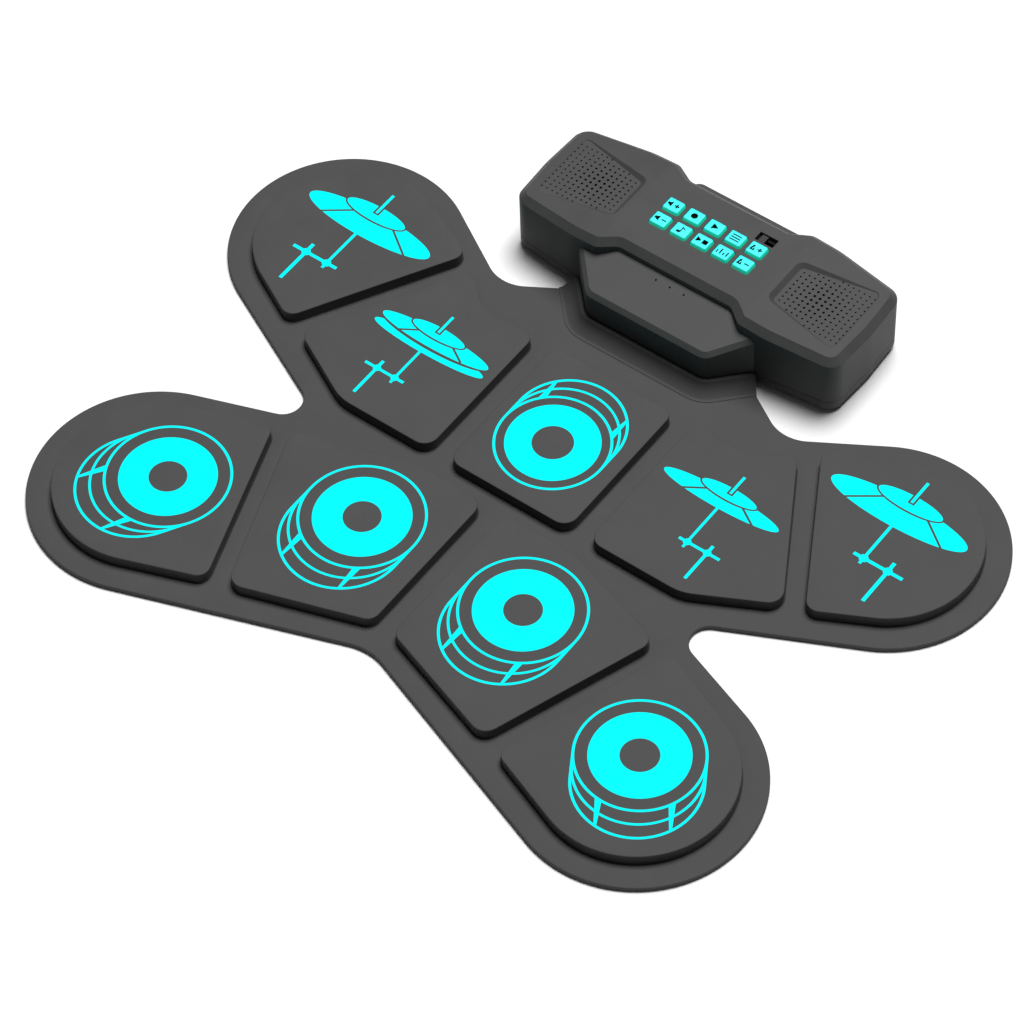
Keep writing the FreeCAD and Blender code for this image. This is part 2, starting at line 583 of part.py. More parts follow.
def bottom_case():
    body = piece("bottom_case", z="foot_height")
    plan = sketch(body, "outline")
    belt(plan, TRAY)
    pad(body, plan, "seam_z - foot_height")
    dress(body, "Fillet", level(0), "case_floor_round")
    hollow = sketch(body, "hollow", lift="seam_z - foot_height")
    belt(hollow, TRAY, grow="-case_wall")
    pocket(body, hollow, "seam_z - foot_height - case_wall")
    posts = sketch(body, "posts", lift="case_wall")
    for x, y in BOARD_POSTS:
        disc(posts, x, y, "boss_radius")
    pad(body, posts, "board_z - foot_height - case_wall")
    pilots = sketch(body, "post_pilots", lift="board_z - foot_height")
    for x, y in BOARD_POSTS:
        disc(pilots, x, y, "board_screw_radius")
    pocket(body, pilots, "board_screw_bite + 1")
    towers = sketch(body, "screw_towers", lift="case_wall")
    for x, y in CASE_SCREWS:
        disc(towers, x, y, "screw_boss_radius")
    pad(body, towers, "seam_z - foot_height - case_wall")
    ports = sketch(body, "port_posts", lift="case_wall")
    for x in ("-(port_board_half_width - 3)", "port_board_half_width - 3"):
        disc(ports, x, "block_rear_y - 12", "boss_radius")
    pad(body, ports, "port_z - port_body_height / 2 - port_board_thickness - foot_height - case_wall")
    heads = sketch(body, "screw_heads")
    for x, y in CASE_SCREWS:
        disc(heads, x, y, "screw_head_radius + 0.2")
    pocket(body, heads, "screw_head_height + screw_sink", Reversed=True)
    shanks = sketch(body, "screw_holes")
    for x, y in CASE_SCREWS:
        disc(shanks, x, y, "screw_radius + 0.1")
    pocket(body, shanks)
    sockets = sketch(body, "foot_sockets")
    for x, y in FEET:
        disc(sockets, x, y, "foot_radius + 0.1")
    pocket(body, sockets, "foot_socket_depth", Reversed=True)


def grille_holes():
    """Column and row of each hole with its radius; rows at the two ends are short at the inner side."""
    columns, rows = 13, 12
    short = {0: 7, 1: 11, 10: 11, 11: 7}
    holes = []
    for j in range(rows):
        for i in range(columns - short.get(j, columns), columns):
            reach = math.hypot((i - 5) / 6.5, (j - 5.5) / 6)
            holes.append((i, j, max(0.0, 1 - reach)))
    return holes


def top_case():
    body = piece("top_case", z="seam_z + seam_gap")
    height = "case_top_z - seam_z - seam_gap"
    plan = sketch(body, "outline")
    belt(plan, CASE)
    pad(body, plan, height)
    wings = sketch(body, "wing_slopes", plane="XZ_Plane")
    for side in ("", "-"):
        polygon(wings, [(f"{side}(wing_break_x)", height), (f"{side}(wing_break_x + 90)", height + " + 20"),
                        (f"{side}(wing_break_x + 90)", height + " - 90 * tan(wing_drop_angle * 1 deg)")])
    pocket(body, wings)
    low = size(height) - 10

    def on_top_rim(edge):
        box = edge.BoundBox
        crease = box.YLength > 20 and box.XLength < 0.01 and abs(box.XMin) < size("case_half_width") - 20
        return box.ZMin > low and not crease

    dress(body, "Chamfer", on_top_rim, "case_edge")
    hollow = sketch(body, "hollow")
    belt(hollow, CASE, grow="-case_wall")
    pocket(body, hollow, "wing_ceiling_z - seam_z - seam_gap", Reversed=True)
    middle = sketch(body, "middle_hollow")
    rectangle(middle, "0", "(middle_front_y + middle_rear_y) / 2", "2 * middle_half_width",
              "middle_rear_y - middle_front_y")
    pocket(body, middle, "middle_ceiling_z - seam_z - seam_gap", Reversed=True)
    openings = sketch(body, "key_openings")
    for x, y in KEY_PLACES.values():
        belt(openings, key_outline(x, y), grow="key_clearance")
    rectangle(openings, "switch_x", "switch_y", "switch_slot_width", "switch_slot_depth")
    pocket(body, openings)
    passage = sketch(body, "cable_passage", plane="XZ_Plane")
    rectangle(passage, "0", "0", "ribbon_width + 4 * slot_margin", "2 * cable_passage_height")
    pocket(body, passage)
    towers = sketch(body, "screw_towers")
    for x, y in CASE_SCREWS:
        disc(towers, x, y, "screw_boss_radius")
    pad(body, towers, "wing_ceiling_z - seam_z - seam_gap")
    drilled = sketch(body, "screw_holes")
    for x, y in CASE_SCREWS:
        disc(drilled, x, y, "screw_radius")
    pocket(body, drilled, "screw_length", Reversed=True)
    posts = sketch(body, "key_board_posts", lift="key_board_z + key_board_thickness - seam_z - seam_gap")
    for x, y in KEY_POSTS:
        disc(posts, x, y, "key_post_radius")
    pad(body, posts, "middle_ceiling_z - key_board_z - key_board_thickness")
    grille(body)


def grille(body):
    """A tapering recess in each wing, deep at its inner end, with the speaker holes in its floor."""
    floor_z = "grille_floor_z - seam_z - seam_gap"
    inner, outer = "grille_recess_inner_x + grille_recess_round", "grille_recess_outer_x - grille_recess_round"
    recess = [
        (inner, "grille_y - grille_recess_inner_half + grille_recess_round", "grille_recess_round"),
        (outer, "grille_y - grille_recess_outer_half + grille_recess_round", "grille_recess_round"),
        (outer, "grille_y + grille_recess_outer_half - grille_recess_round", "grille_recess_round"),
        (inner, "grille_y + grille_recess_inner_half - grille_recess_round", "grille_recess_round"),
    ]
    lean = FreeCAD.Rotation(FreeCAD.Vector(0, 1, 0), size("grille_tilt"))
    sections = []
    for name, lift, grow in (("floor", floor_z, "0"),
                             ("mouth", floor_z + " + grille_wall_rise", "grille_wall_spread")):
        plan = sketch(body, "grille_" + name, lift=lift + " + grille_recess_inner_x * tan(grille_tilt * 1 deg)")
        offset = plan.AttachmentOffset
        offset.Rotation = lean
        plan.AttachmentOffset = offset
        belt(plan, recess, grow=grow)
        sections.append(plan)
    dish = body.newObject("PartDesign::SubtractiveLoft", "grille_recess")
    dish.Profile = sections[0]
    dish.Sections = sections[1:]
    dish.Ruled = True
    holes = sketch(body, "grille_holes")
    discs(holes, [(f"grille_inner_x + {i} * grille_pitch_x", f"grille_y + {j - 5.5} * grille_pitch_y",
                   f"grille_hole_rim + {strength:.3f} * (grille_hole_middle - grille_hole_rim)")
                  for i, j, strength in grille_holes()])
    drilled = pocket(body, holes)
    doc.recompute()
    twin = body.newObject("PartDesign::Mirrored", "left_grille")
    twin.Originals = [dish, drilled]
    plane = [each for each in body.Origin.OriginFeatures if each.Role == "YZ_Plane"][0]
    twin.MirrorPlane = (plane, [""])
    body.Tip = twin


def rubber_feet():
    feet = [rod(f"foot_{i}", "foot_radius", "foot_height + foot_socket_depth", x, y, "0")
            for i, (x, y) in enumerate(FEET)]
    group("rubber_feet", feet)


def screw(name, x, y, z, length, radius, upward):
    """A pan-head screw with its head standing on z; the shank goes up through the head, or down."""
    made = doc.addObject("Part::Fuse", name)
    made.Base = rod(name + "_head", "screw_head_radius", "screw_head_height", x, y, z)
    made.Tool = rod(name + "_shank", radius, length, x, y, z if upward else f"{z} + screw_head_height - ({length})")
    return made


def fasteners():
    group("case_screws", [screw(f"case_screw_{i}", x, y, "foot_height + screw_sink",
                                "seam_z - foot_height - 2 * screw_sink + screw_length", "screw_radius - 0.1", True)
                          for i, (x, y) in enumerate(CASE_SCREWS)])
    group("board_screws", [screw(f"board_screw_{i}", x, y, "board_z + board_thickness",
                                 "screw_head_height + board_thickness + board_screw_bite", "board_screw_radius", False)
                           for i, (x, y) in enumerate(BOARD_POSTS)])


def boards():
    body = piece("main_board", z="board_z")
    plan = sketch(body, "outline")
    rectangle(plan, "0", "(board_front_y + board_rear_y) / 2", "2 * board_half_width", "board_rear_y - board_front_y")
    for x, y in BOARD_POSTS:
        disc(plan, x, y, "board_screw_radius")
    pad(body, plan, "board_thickness")


def battery():
    x, y = "-battery_x", "case_middle_y"
    floor = "foot_height + case_wall"
    body = piece("battery_pack", z=floor, x=x, y=y)
    plan = sketch(body, "outline")
    corner = "1.5"
    belt(plan, [(f"{i}(battery_length / 2 - {corner})", f"{j}(battery_width / 2 - {corner})", corner)
                for i, j in (("-", "-"), ("", "-"), ("", ""), ("-", ""))])
    pad(body, plan, "battery_height")
    strap = piece("battery_strap", z=floor, x=x, y=y)
    side = sketch(strap, "arch", plane="YZ_Plane")
    out, deep = "battery_width / 2 + battery_strap + fit_gap", "battery_width / 2 + fit_gap"
    over, under = "battery_height + battery_strap + fit_gap", "battery_height + fit_gap"
    polygon(side, [(f"-({out}) - 5", "0"), (f"-({deep})", "0"), (f"-({deep})", under), (deep, under), (deep, "0"),
                   (out + " + 5", "0"), (out + " + 5", "battery_strap"), (out, "battery_strap"), (out, over),
                   (f"-({out})", over), (f"-({out})", "battery_strap"), (f"-({out}) - 5", "battery_strap")])
    pad(strap, side, "12", SideType="Symmetric")


# ---------------------------------------------------------------- speakers
def speaker(side, sign):
    """One round speaker: gasket, pressed basket, paper cone and magnet, seated under the grille."""
    x, y = f"{sign}speaker_x", "grille_y"
    flange_top = "wing_ceiling_z - speaker_gasket"
    gasket = piece(f"{side}_speaker_gasket", z=flange_top, x=x, y=y)
    ring = sketch(gasket, "ring")
    disc(ring, "0", "0", "speaker_radius")
    disc(ring, "0", "0", "speaker_radius - 2.5")
    pad(gasket, ring, "speaker_gasket")

    basket = piece(f"{side}_speaker_basket", z=f"{flange_top} - speaker_depth", x=x, y=y)
    profile = sketch(basket, "profile", plane="XZ_Plane")
    deep, wall = "speaker_depth", "basket_wall"
    polygon(profile, [("4", f"magnet_height - {wall}"), ("magnet_radius + 1", f"magnet_height - {wall}"),
                      ("speaker_radius - 2", f"{deep} - 3"), ("speaker_radius - 2", f"{deep} - {wall}"),
                      ("speaker_radius", f"{deep} - {wall}"), ("speaker_radius", deep),
                      ("speaker_radius - 2.5 - 0.5", deep), ("speaker_radius - 3", f"{deep} - 2.6"),
                      ("magnet_radius", "magnet_height"), ("4", "magnet_height")])
    turn = feature(basket, "Revolution", profile)
    turn.ReferenceAxis = (profile, ["V_Axis"])
    turn.Angle = 360

    cone = piece(f"{side}_speaker_cone", z=f"{flange_top} - speaker_depth", x=x, y=y)
    profile = sketch(cone, "profile", plane="XZ_Plane")
    polygon(profile, [("0", "magnet_height + 2"), ("4", "magnet_height + 2"), ("speaker_radius - 3.2", f"{deep} - 1"),
                      ("speaker_radius - 3.2", f"{deep} - 1 + cone_wall"), ("3.6", "magnet_height + 2 + cone_wall"),
                      ("0", "magnet_height + 2 + cone_wall")])
    turn = feature(cone, "Revolution", profile)
    turn.ReferenceAxis = (profile, ["V_Axis"])
    turn.Angle = 360

    magnet = piece(f"{side}_speaker_magnet", z=f"{flange_top} - speaker_depth - 1", x=x, y=y)
    slug = sketch(magnet, "slug")
    disc(slug, "0", "0", "magnet_radius")
    pad(magnet, slug, f"magnet_height - {wall} + 1")
    pole = sketch(magnet, "pole")
    disc(pole, "0", "0", "3.2")
    pad(magnet, pole, "magnet_height + 2")


# ---------------------------------------------------------------- keys and slide switch
KEY_NAMES = [["volume_up_key", "record_key", "play_key", "style_key", "tempo_up_key"],
             ["volume_down_key", "demo_key", "start_stop_key", "rhythm_key", "tempo_down_key"]]
KEY_PLACES = {name: (f"{column - 2} * key_pitch_x", f"key_rear_row_y - {row} * key_pitch_y")
              for row, names in enumerate(KEY_NAMES) for column, name in enumerate(names)}
KEY_FLOOR = "middle_ceiling_z - fit_gap - key_flange_height"


def key_outline(x, y):
    wide, deep = "(key_width / 2 - key_corner)", "(key_depth / 2 - key_corner)"
    return [(f"{x} {i} {wide}", f"{y} {j} {deep}", "key_corner")
            for i, j in (("-", "-"), ("+", "-"), ("+", "+"), ("-", "+"))]


def key(name, x, y):
    body = piece(name, z=KEY_FLOOR, x=x, y=y)
    outline = key_outline("0", "0")
    cap = sketch(body, "cap")
    belt(cap, outline)
    pad(body, cap, f"key_top_z - ({KEY_FLOOR})")
    dress(body, "Fillet", level(size(f"key_top_z - ({KEY_FLOOR})")), "key_edge_round")
    flange = sketch(body, "flange")
    belt(flange, outline, grow="key_flange")
    pad(body, flange, "key_flange_height")
    stem = sketch(body, "stem")
    disc(stem, "0", "0", "key_stem_radius")
    pad(body, stem, f"{KEY_FLOOR} - key_board_z - key_board_thickness - key_gap", Reversed=True)


def key_board():
    board = piece("key_board", z="key_board_z")
    plan = sketch(board, "outline")
    front, rear = "middle_front_y + 4", "middle_rear_y - 1"
    polygon(plan, [("1 - middle_half_width", front), ("middle_half_width - 1", front),
                   ("middle_half_width - 1", rear), ("1 - middle_half_width", rear)])
    pad(board, plan, "key_board_thickness")
    web = piece("keypad_web", z="key_board_z + key_board_thickness")
    plan = sketch(web, "outline")
    rectangle(plan, "0", "key_rear_row_y - key_pitch_y / 2", "5 * key_pitch_x", "2 * key_pitch_y")
    for x, y in KEY_PLACES.values():
        disc(plan, x, y, "key_stem_radius + 1")
    pad(web, plan, "key_web")


def slide_switch():
    floor = "key_board_z + key_board_thickness"
    body = piece("slide_switch_body", z=floor, x="switch_x", y="switch_y")
    plan = sketch(body, "outline")
    rectangle(plan, "0", "0", "switch_body_width", "switch_body_depth")
    pad(body, plan, "switch_body_height")
    groove = sketch(body, "groove", lift="switch_body_height")
    rectangle(groove, "0", "0", "switch_travel + switch_stem + 3", "switch_stem + 2 * fit_gap")
    pocket(body, groove, "switch_body_height - 1.2")
    knob = piece("slide_switch_knob", x="switch_x - switch_travel / 2", y="switch_y",
                 z=f"{floor} + switch_body_height + fit_gap")
    plan = sketch(knob, "grip")
    rectangle(plan, "0", "0", "switch_knob_width", "switch_knob_depth")
    pad(knob, plan, f"switch_knob_top_z - ({floor}) - switch_body_height - fit_gap")
    stem = sketch(knob, "stem")
    rectangle(stem, "0", "0", "switch_stem", "switch_stem")
    pad(knob, stem, "switch_body_height - 2", Reversed=True)


# ---------------------------------------------------------------- ports block
PORTS = {"hi_hat_pedal_jack": "-port_pitch * 1.5", "bass_pedal_jack": "-port_pitch * 0.5",
         "headphone_jack": "port_pitch * 0.5"}
USB_X = "port_pitch * 1.5"
PORT_FLOOR = "port_z - port_body_height / 2"


def port_cover():
    body = piece("port_cover", z="seam_z + seam_gap")
    plan = sketch(body, "outline")
    belt(plan, BLOCK)
    pad(body, plan, "block_top_z - seam_z - seam_gap")
    dress(body, "Chamfer", level(size("block_top_z - seam_z - seam_gap")), "block_edge")
    hollow = sketch(body, "hollow")
    belt(hollow, BLOCK, grow="-block_wall")
    pocket(body, hollow, "block_top_z - seam_z - seam_gap - block_wall", Reversed=True)
    passage = sketch(body, "passage")
    rectangle(passage, "0", "block_front_y", "ribbon_width + 4", "6")
    pocket(body, passage, "9", Reversed=True)
    holes = sketch(body, "port_holes", plane="XZ_Plane", lift="-block_rear_y")
    for x in PORTS.values():
        disc(holes, x, "port_z - seam_z - seam_gap", "port_nose_radius + fit_gap")
    rectangle(holes, USB_X, "(usb_z + usb_height / 2 + fit_gap - seam_z) / 2 - seam_gap", "usb_width + 2 * fit_gap",
              "usb_z + usb_height / 2 + fit_gap - seam_z")
    pocket(body, holes, "2 * block_wall", Reversed=True)


def ports():
    board = piece("port_board", z=f"{PORT_FLOOR} - port_board_thickness")
    plan = sketch(board, "outline")
    near, far = "block_front_y + 3", "block_rear_y - block_wall - 1"
    polygon(plan, [("-port_board_half_width", near), ("port_board_half_width", near),
                   ("port_board_half_width", far), ("-port_board_half_width", far)])
    pad(board, plan, "port_board_thickness")
    for name, x in PORTS.items():
        body = piece(name, x=x, z=PORT_FLOOR)
        inner_face = "block_rear_y - case_wall - fit_gap"
        shell = sketch(body, "shell")
        rectangle(shell, "0", f"{inner_face} - port_body_depth / 2", "port_body_width", "port_body_depth")
        pad(body, shell, "port_body_height")
        nose = sketch(body, "nose", plane="XZ_Plane", lift="-block_rear_y")
        disc(nose, "0", "port_body_height / 2", "port_nose_radius")
        pad(body, nose, "case_wall + fit_gap + 1")
        bore = sketch(body, "bore", plane="XZ_Plane", lift="-block_rear_y")
        disc(bore, "0", "port_body_height / 2", "port_bore_radius")
        pocket(body, bore, "port_bore_length - fit_gap", Reversed=True)
    usb = piece("usb_socket", x=USB_X, z=PORT_FLOOR)
    shell = sketch(usb, "shell")
    rectangle(shell, "0", "block_rear_y - usb_depth / 2", "usb_width", "usb_depth")
    pad(usb, shell, f"usb_z - ({PORT_FLOOR}) + usb_height / 2")
    mouth = sketch(usb, "mouth", plane="XZ_Plane", lift="-block_rear_y")
    rectangle(mouth, "0", f"usb_z - ({PORT_FLOOR})", "usb_width - 1", "usb_height - 1")
    pocket(usb, mouth, "usb_depth - 2", Reversed=True)


mat_base()
mat_film()
mat_skin()
mat_sensors()
for pad_name, (pad_outline, _) in PADS.items():
    striking_pad(pad_name, pad_outline)
mat_collar()
dock()
dock_clamp()
indicators()
ribbon()
bottom_case()
top_case()
rubber_feet()
fasteners()
boards()
battery()
for speaker_side, speaker_sign in (("left", "-"), ("right", "")):
    speaker(speaker_side, speaker_sign)
for key_name, (key_x, key_y) in KEY_PLACES.items():
    key(key_name, key_x, key_y)
key_board()
slide_switch()
port_cover()
ports()
doc.recompute()

# ---------------------------------------------------------------- checks and export
for made in doc.Objects:
    if "Invalid" in made.State or "Error" in made.State:
        raise RuntimeError(f"{made.Name} failed: {made.State}")
os.makedirs("parts", exist_ok=True)
for label, made in nodes.items():
    if made.Shape.isNull() or not made.Shape.isValid():
        raise RuntimeError(f"{label} has no valid shape")
    made.Shape.exportStep(f"parts/{label}.step")
    box = made.Shape.BoundBox
    print(f"{label:24} solids {len(made.Shape.Solids)} volume {made.Shape.Volume:10.1f} "
          f"z {box.ZMin:7.2f} {box.ZMax:7.2f} y {box.YMin:7.1f} {box.YMax:7.1f} x {box.XMin:7.1f} {box.XMax:7.1f}")
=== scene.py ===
import math

import bpy
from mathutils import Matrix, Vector
from mathutils.geometry import delaunay_2d_cdt
from mathutils.kdtree import KDTree


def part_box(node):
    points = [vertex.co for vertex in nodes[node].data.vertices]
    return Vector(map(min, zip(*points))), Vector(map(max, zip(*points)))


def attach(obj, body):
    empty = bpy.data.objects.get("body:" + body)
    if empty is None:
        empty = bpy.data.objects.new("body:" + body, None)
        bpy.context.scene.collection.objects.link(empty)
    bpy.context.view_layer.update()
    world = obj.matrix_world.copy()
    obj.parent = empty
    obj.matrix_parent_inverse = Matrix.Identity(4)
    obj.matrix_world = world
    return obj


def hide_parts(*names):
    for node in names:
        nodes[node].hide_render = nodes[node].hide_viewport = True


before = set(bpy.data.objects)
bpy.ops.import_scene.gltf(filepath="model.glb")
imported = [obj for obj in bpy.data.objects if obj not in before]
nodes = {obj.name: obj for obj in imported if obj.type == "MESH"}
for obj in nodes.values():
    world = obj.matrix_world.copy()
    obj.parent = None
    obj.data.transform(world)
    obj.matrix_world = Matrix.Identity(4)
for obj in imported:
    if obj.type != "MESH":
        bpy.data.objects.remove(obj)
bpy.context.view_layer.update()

# ------------------------------------------------------------------ the mat
# The mat is a thin base sheet and a thicker top skin of matt grey silicone, pressed to one outline and
# bonded round the rim over the sensor film. Nine wells cut through the skin hold the striking pads.
# It lies flat on the table under its own weight.
MM = 0.001


def belt(rounds, grow=0.0, step=2.0):
    """Points of an outline pulled tight round a ring of circles (x, y, radius), anticlockwise.

    A hollow has a negative radius. grow moves the whole outline outwards."""
    turns = []
    for i, (x, y, r) in enumerate(rounds):
        x2, y2, r2 = rounds[(i + 1) % len(rounds)]
        gap = math.hypot(x2 - x, y2 - y)
        turns.append(math.atan2(y2 - y, x2 - x) - math.asin((r2 - r) / gap) - math.pi / 2)
    points = []
    for i, (x, y, r) in enumerate(rounds):
        turn = (turns[i] - turns[i - 1]) % (2 * math.pi)
        if r < 0:
            turn -= 2 * math.pi
        parts = max(3, math.ceil(abs(r * turn) / step))
        for k in range(parts + 1):
            angle = turns[i - 1] + turn * k / parts
            points.append((x + (r + grow) * math.cos(angle), y + (r + grow) * math.sin(angle)))
        x2, y2, r2 = rounds[(i + 1) % len(rounds)]
        run = math.sqrt(max(0.0, (x2 - x) ** 2 + (y2 - y) ** 2 - (r2 - r) ** 2))
        parts = max(1, round(run / (2 * step)))
        start = points[-1]
        end = (x2 + (r2 + grow) * math.cos(turns[i]), y2 + (r2 + grow) * math.sin(turns[i]))
        for k in range(1, parts):
            share = k / parts
            points.append((start[0] + (end[0] - start[0]) * share, start[1] + (end[1] - start[1]) * share))
    return points


def both_sides(half):
    """The right half of an outline and its mirror image."""
    return half + [(-x, y, r) for x, y, r in reversed(half)]


class Shell:
    """A closed skin under construction, in millimetres."""

    def __init__(self):
        self.points = []
        self.faces = []

    def ring(self, flat, z):
        """Adds an outline at height z and gives back the numbers of its points."""
        first = len(self.points)
        self.points += [(x, y, z) for x, y in flat]
        return list(range(first, first + len(flat)))

    def band(self, low, high):
        """Joins two rings that have as many points."""
        count = len(low)
        self.faces += [(low[i], low[(i + 1) % count], high[(i + 1) % count], high[i]) for i in range(count)]

    def wall(self, rings):
        """Joins each ring to the next."""
        for low, high in zip(rings, rings[1:]):
            self.band(low, high)

    def cover(self, outer, holes=(), spacing=0.0, down=False):
        """Closes the flat area inside the outer ring and outside the holes."""
        loops = [outer, *holes]
        ids = [i for loop in loops for i in loop]
        z = self.points[ids[0]][2]
        flat = [Vector(self.points[i][:2]) for i in ids]
        if spacing:
            near = KDTree(len(flat))
            for i, point in enumerate(flat):
                near.insert((point.x, point.y, 0), i)
            near.balance()
            low_x, high_x = min(p.x for p in flat), max(p.x for p in flat)
            low_y, high_y = min(p.y for p in flat), max(p.y for p in flat)
            for i in range(1, int((high_x - low_x) / spacing) + 1):
                for j in range(1, int((high_y - low_y) / spacing) + 1):
                    shift = spacing / 2 if j % 2 else 0
                    x, y = low_x + i * spacing - shift, low_y + j * spacing
                    if near.find((x, y, 0))[2] > spacing * 0.6:
                        flat.append(Vector((x, y)))
        marks, first = [], 0
        for loop in loops:
            marks.append(list(range(first, first + len(loop))))
            first += len(loop)
        found, _, triangles, origin, _, owners = delaunay_2d_cdt(flat, [], marks, 0, 1e-7, True)
        place = {}
        for triangle, owner in zip(triangles, owners):
            if list(owner) != [0]:
                continue
            corner = []
            for v in triangle:
                if v not in place:
                    old = origin[v][0] if origin[v] else len(ids)
                    if old < len(ids):
                        place[v] = ids[old]
                    else:
                        place[v] = len(self.points)
                        self.points.append((found[v].x, found[v].y, z))
                corner.append(place[v])
            self.faces.append(tuple(reversed(corner)) if down else tuple(corner))

    def build(self, name, smooth=40.0):
        """Makes the piece. Edges that turn by more than smooth degrees stay sharp."""
        mesh = bpy.data.meshes.new(name)
        mesh.from_pydata([(x * MM, y * MM, z * MM) for x, y, z in self.points], [], self.faces)
        mesh.validate()
        mesh.polygons.foreach_set("use_smooth", [True] * len(mesh.polygons))
        mesh.set_sharp_from_angle(angle=math.radians(smooth))
        piece = bpy.data.objects.new(name, mesh)
        bpy.context.scene.collection.objects.link(piece)
        return piece


MAT_OUTLINE = [(0.0, -196.0, -35.6)] + both_sides([
    (168.7, -141.9, 71.8), (149.8, -46.5, -11.7), (189.7, 65.3, 71.3), (100.0, 123.0, -24.4),
    (58.0, 117.5, 2.0)])
CENTRE_PAD = both_sides([(33.3, -23.0, 9.0), (36.3, 63.6, 6.0)])
UPPER_INNER_PAD = [(65.1, -23.0, 9.0), (112.0, -2.0, 30.0), (157.5, -2.0, 9.0), (113.0, 74.8, 9.0),
                   (90.0, 79.6, -10.0), (62.1, 63.6, 6.0)]
UPPER_OUTER_PAD = [(185.0, 8.1, 7.5), (189.7, 65.3, 56.1), (136.0, 94.0, 7.5)]
LOWER_INNER_PAD = [(14.4, -141.0, 7.5), (83.0, -162.0, 9.0), (117.5, -72.0, 7.5), (50.0, -84.5, 40.0),
                   (15.9, -53.5, 9.0)]
LOWER_OUTER_PAD = [(110.0, -172.5, 7.5), (168.7, -141.9, 56.6), (142.5, -78.5, 7.5)]


def other_side(rounds):
    """The mirror image of an outline, still anticlockwise."""
    return [(-x, y, r) for x, y, r in reversed(rounds)]


PADS = {
    "bass_drum": CENTRE_PAD,
    "ride": UPPER_INNER_PAD,
    "hi_hat": other_side(UPPER_INNER_PAD),
    "splash": UPPER_OUTER_PAD,
    "crash": other_side(UPPER_OUTER_PAD),
    "high_tom": LOWER_INNER_PAD,
    "snare": other_side(LOWER_INNER_PAD),
    "floor_tom": LOWER_OUTER_PAD,
    "low_tom": other_side(LOWER_OUTER_PAD),
}


def sockets(group, side, names):
    """Gives a node group its named inputs or outputs."""
    for name, kind in names.items():
        group.interface.new_socket(name, in_out=side, socket_type="NodeSocket" + kind)


def moulded_finish():
    """A moulded surface: fine spark-eroded grain, faint flow patches in the colour and an uneven sheen."""
    group = bpy.data.node_groups.new("moulded_finish", "ShaderNodeTree")
    sockets(group, "INPUT", {
        "Color": "Color", "Patch Color": "Color", "Patch Scale": "Float", "Grain Scale": "Float",
        "Low Roughness": "Float", "High Roughness": "Float"})
    sockets(group, "OUTPUT", {"Color": "Color", "Roughness": "Float", "Height": "Float"})
    make, link = group.nodes.new, group.links.new
    into, out = make("NodeGroupInput"), make("NodeGroupOutput")
    place = make("ShaderNodeTexCoord")
    patches, grain = make("ShaderNodeTexNoise"), make("ShaderNodeTexNoise")
    pits = make("ShaderNodeTexVoronoi")
    patches.inputs["Detail"].default_value = 4
    grain.inputs["Detail"].default_value = 3
    for texture, scale in ((patches, "Patch Scale"), (grain, "Grain Scale"), (pits, "Grain Scale")):
        link(place.outputs["Object"], texture.inputs["Vector"])
        link(into.outputs[scale], texture.inputs["Scale"])
    speckle = make("ShaderNodeMath")
    speckle.operation = "MULTIPLY_ADD"
    speckle.inputs[1].default_value = 0.9
    link(grain.outputs["Fac"], speckle.inputs[0])
    link(patches.outputs["Fac"], speckle.inputs[2])
    spread = make("ShaderNodeMapRange")
    spread.inputs["From Min"].default_value = 0.7
    spread.inputs["From Max"].default_value = 1.2
    link(speckle.outputs[0], spread.inputs["Value"])
    tint = make("ShaderNodeMix")
    tint.data_type = "RGBA"
    link(spread.outputs["Result"], tint.inputs[0])
    link(into.outputs["Color"], tint.inputs[6])
    link(into.outputs["Patch Color"], tint.inputs[7])
    link(tint.outputs[2], out.inputs["Color"])
    sheen = make("ShaderNodeMapRange")
    link(spread.outputs["Result"], sheen.inputs["Value"])
    link(into.outputs["Low Roughness"], sheen.inputs["To Min"])
    link(into.outputs["High Roughness"], sheen.inputs["To Max"])
    link(sheen.outputs["Result"], out.inputs["Roughness"])
    relief = make("ShaderNodeMath")
    relief.operation = "ADD"
    link(grain.outputs["Fac"], relief.inputs[0])
    link(pits.outputs["Distance"], relief.inputs[1])
    link(relief.outputs[0], out.inputs["Height"])
    return group


MOULDED = moulded_finish()


def moulded(name, color, patch, rough, grain=1500.0, patches=35.0, depth=0.00006, edge=0.0, **shader):
    """A moulded material. edge is the radius of its worn corners, in metres."""
    material = bpy.data.materials.new(name)
    material.use_nodes = True
    tree = material.node_tree
    skin = tree.nodes["Principled BSDF"]
    finish = tree.nodes.new("ShaderNodeGroup")
    finish.node_tree = MOULDED
    finish.inputs["Color"].default_value = (*color, 1)
    finish.inputs["Patch Color"].default_value = (*patch, 1)
    finish.inputs["Patch Scale"].default_value = patches
    finish.inputs["Grain Scale"].default_value = grain
    finish.inputs["Low Roughness"].default_value = rough[0]
    finish.inputs["High Roughness"].default_value = rough[1]
    bump = tree.nodes.new("ShaderNodeBump")
    bump.inputs["Distance"].default_value = depth
    bump.inputs["Strength"].default_value = 0.6
    tree.links.new(finish.outputs["Color"], skin.inputs["Base Color"])
    tree.links.new(finish.outputs["Roughness"], skin.inputs["Roughness"])
    tree.links.new(finish.outputs["Height"], bump.inputs["Height"])
    tree.links.new(bump.outputs["Normal"], skin.inputs["Normal"])
    if edge:
        corner = tree.nodes.new("ShaderNodeBevel")
        corner.samples = 6
        corner.inputs["Radius"].default_value = edge
        tree.links.new(corner.outputs["Normal"], bump.inputs["Normal"])
    for socket, value in shader.items():
        skin.inputs[socket.replace("_", " ")].default_value = value
    return material


def coat(piece, material):
    """Gives a piece its one material."""
    piece.data.materials.clear()
    piece.data.materials.append(material)


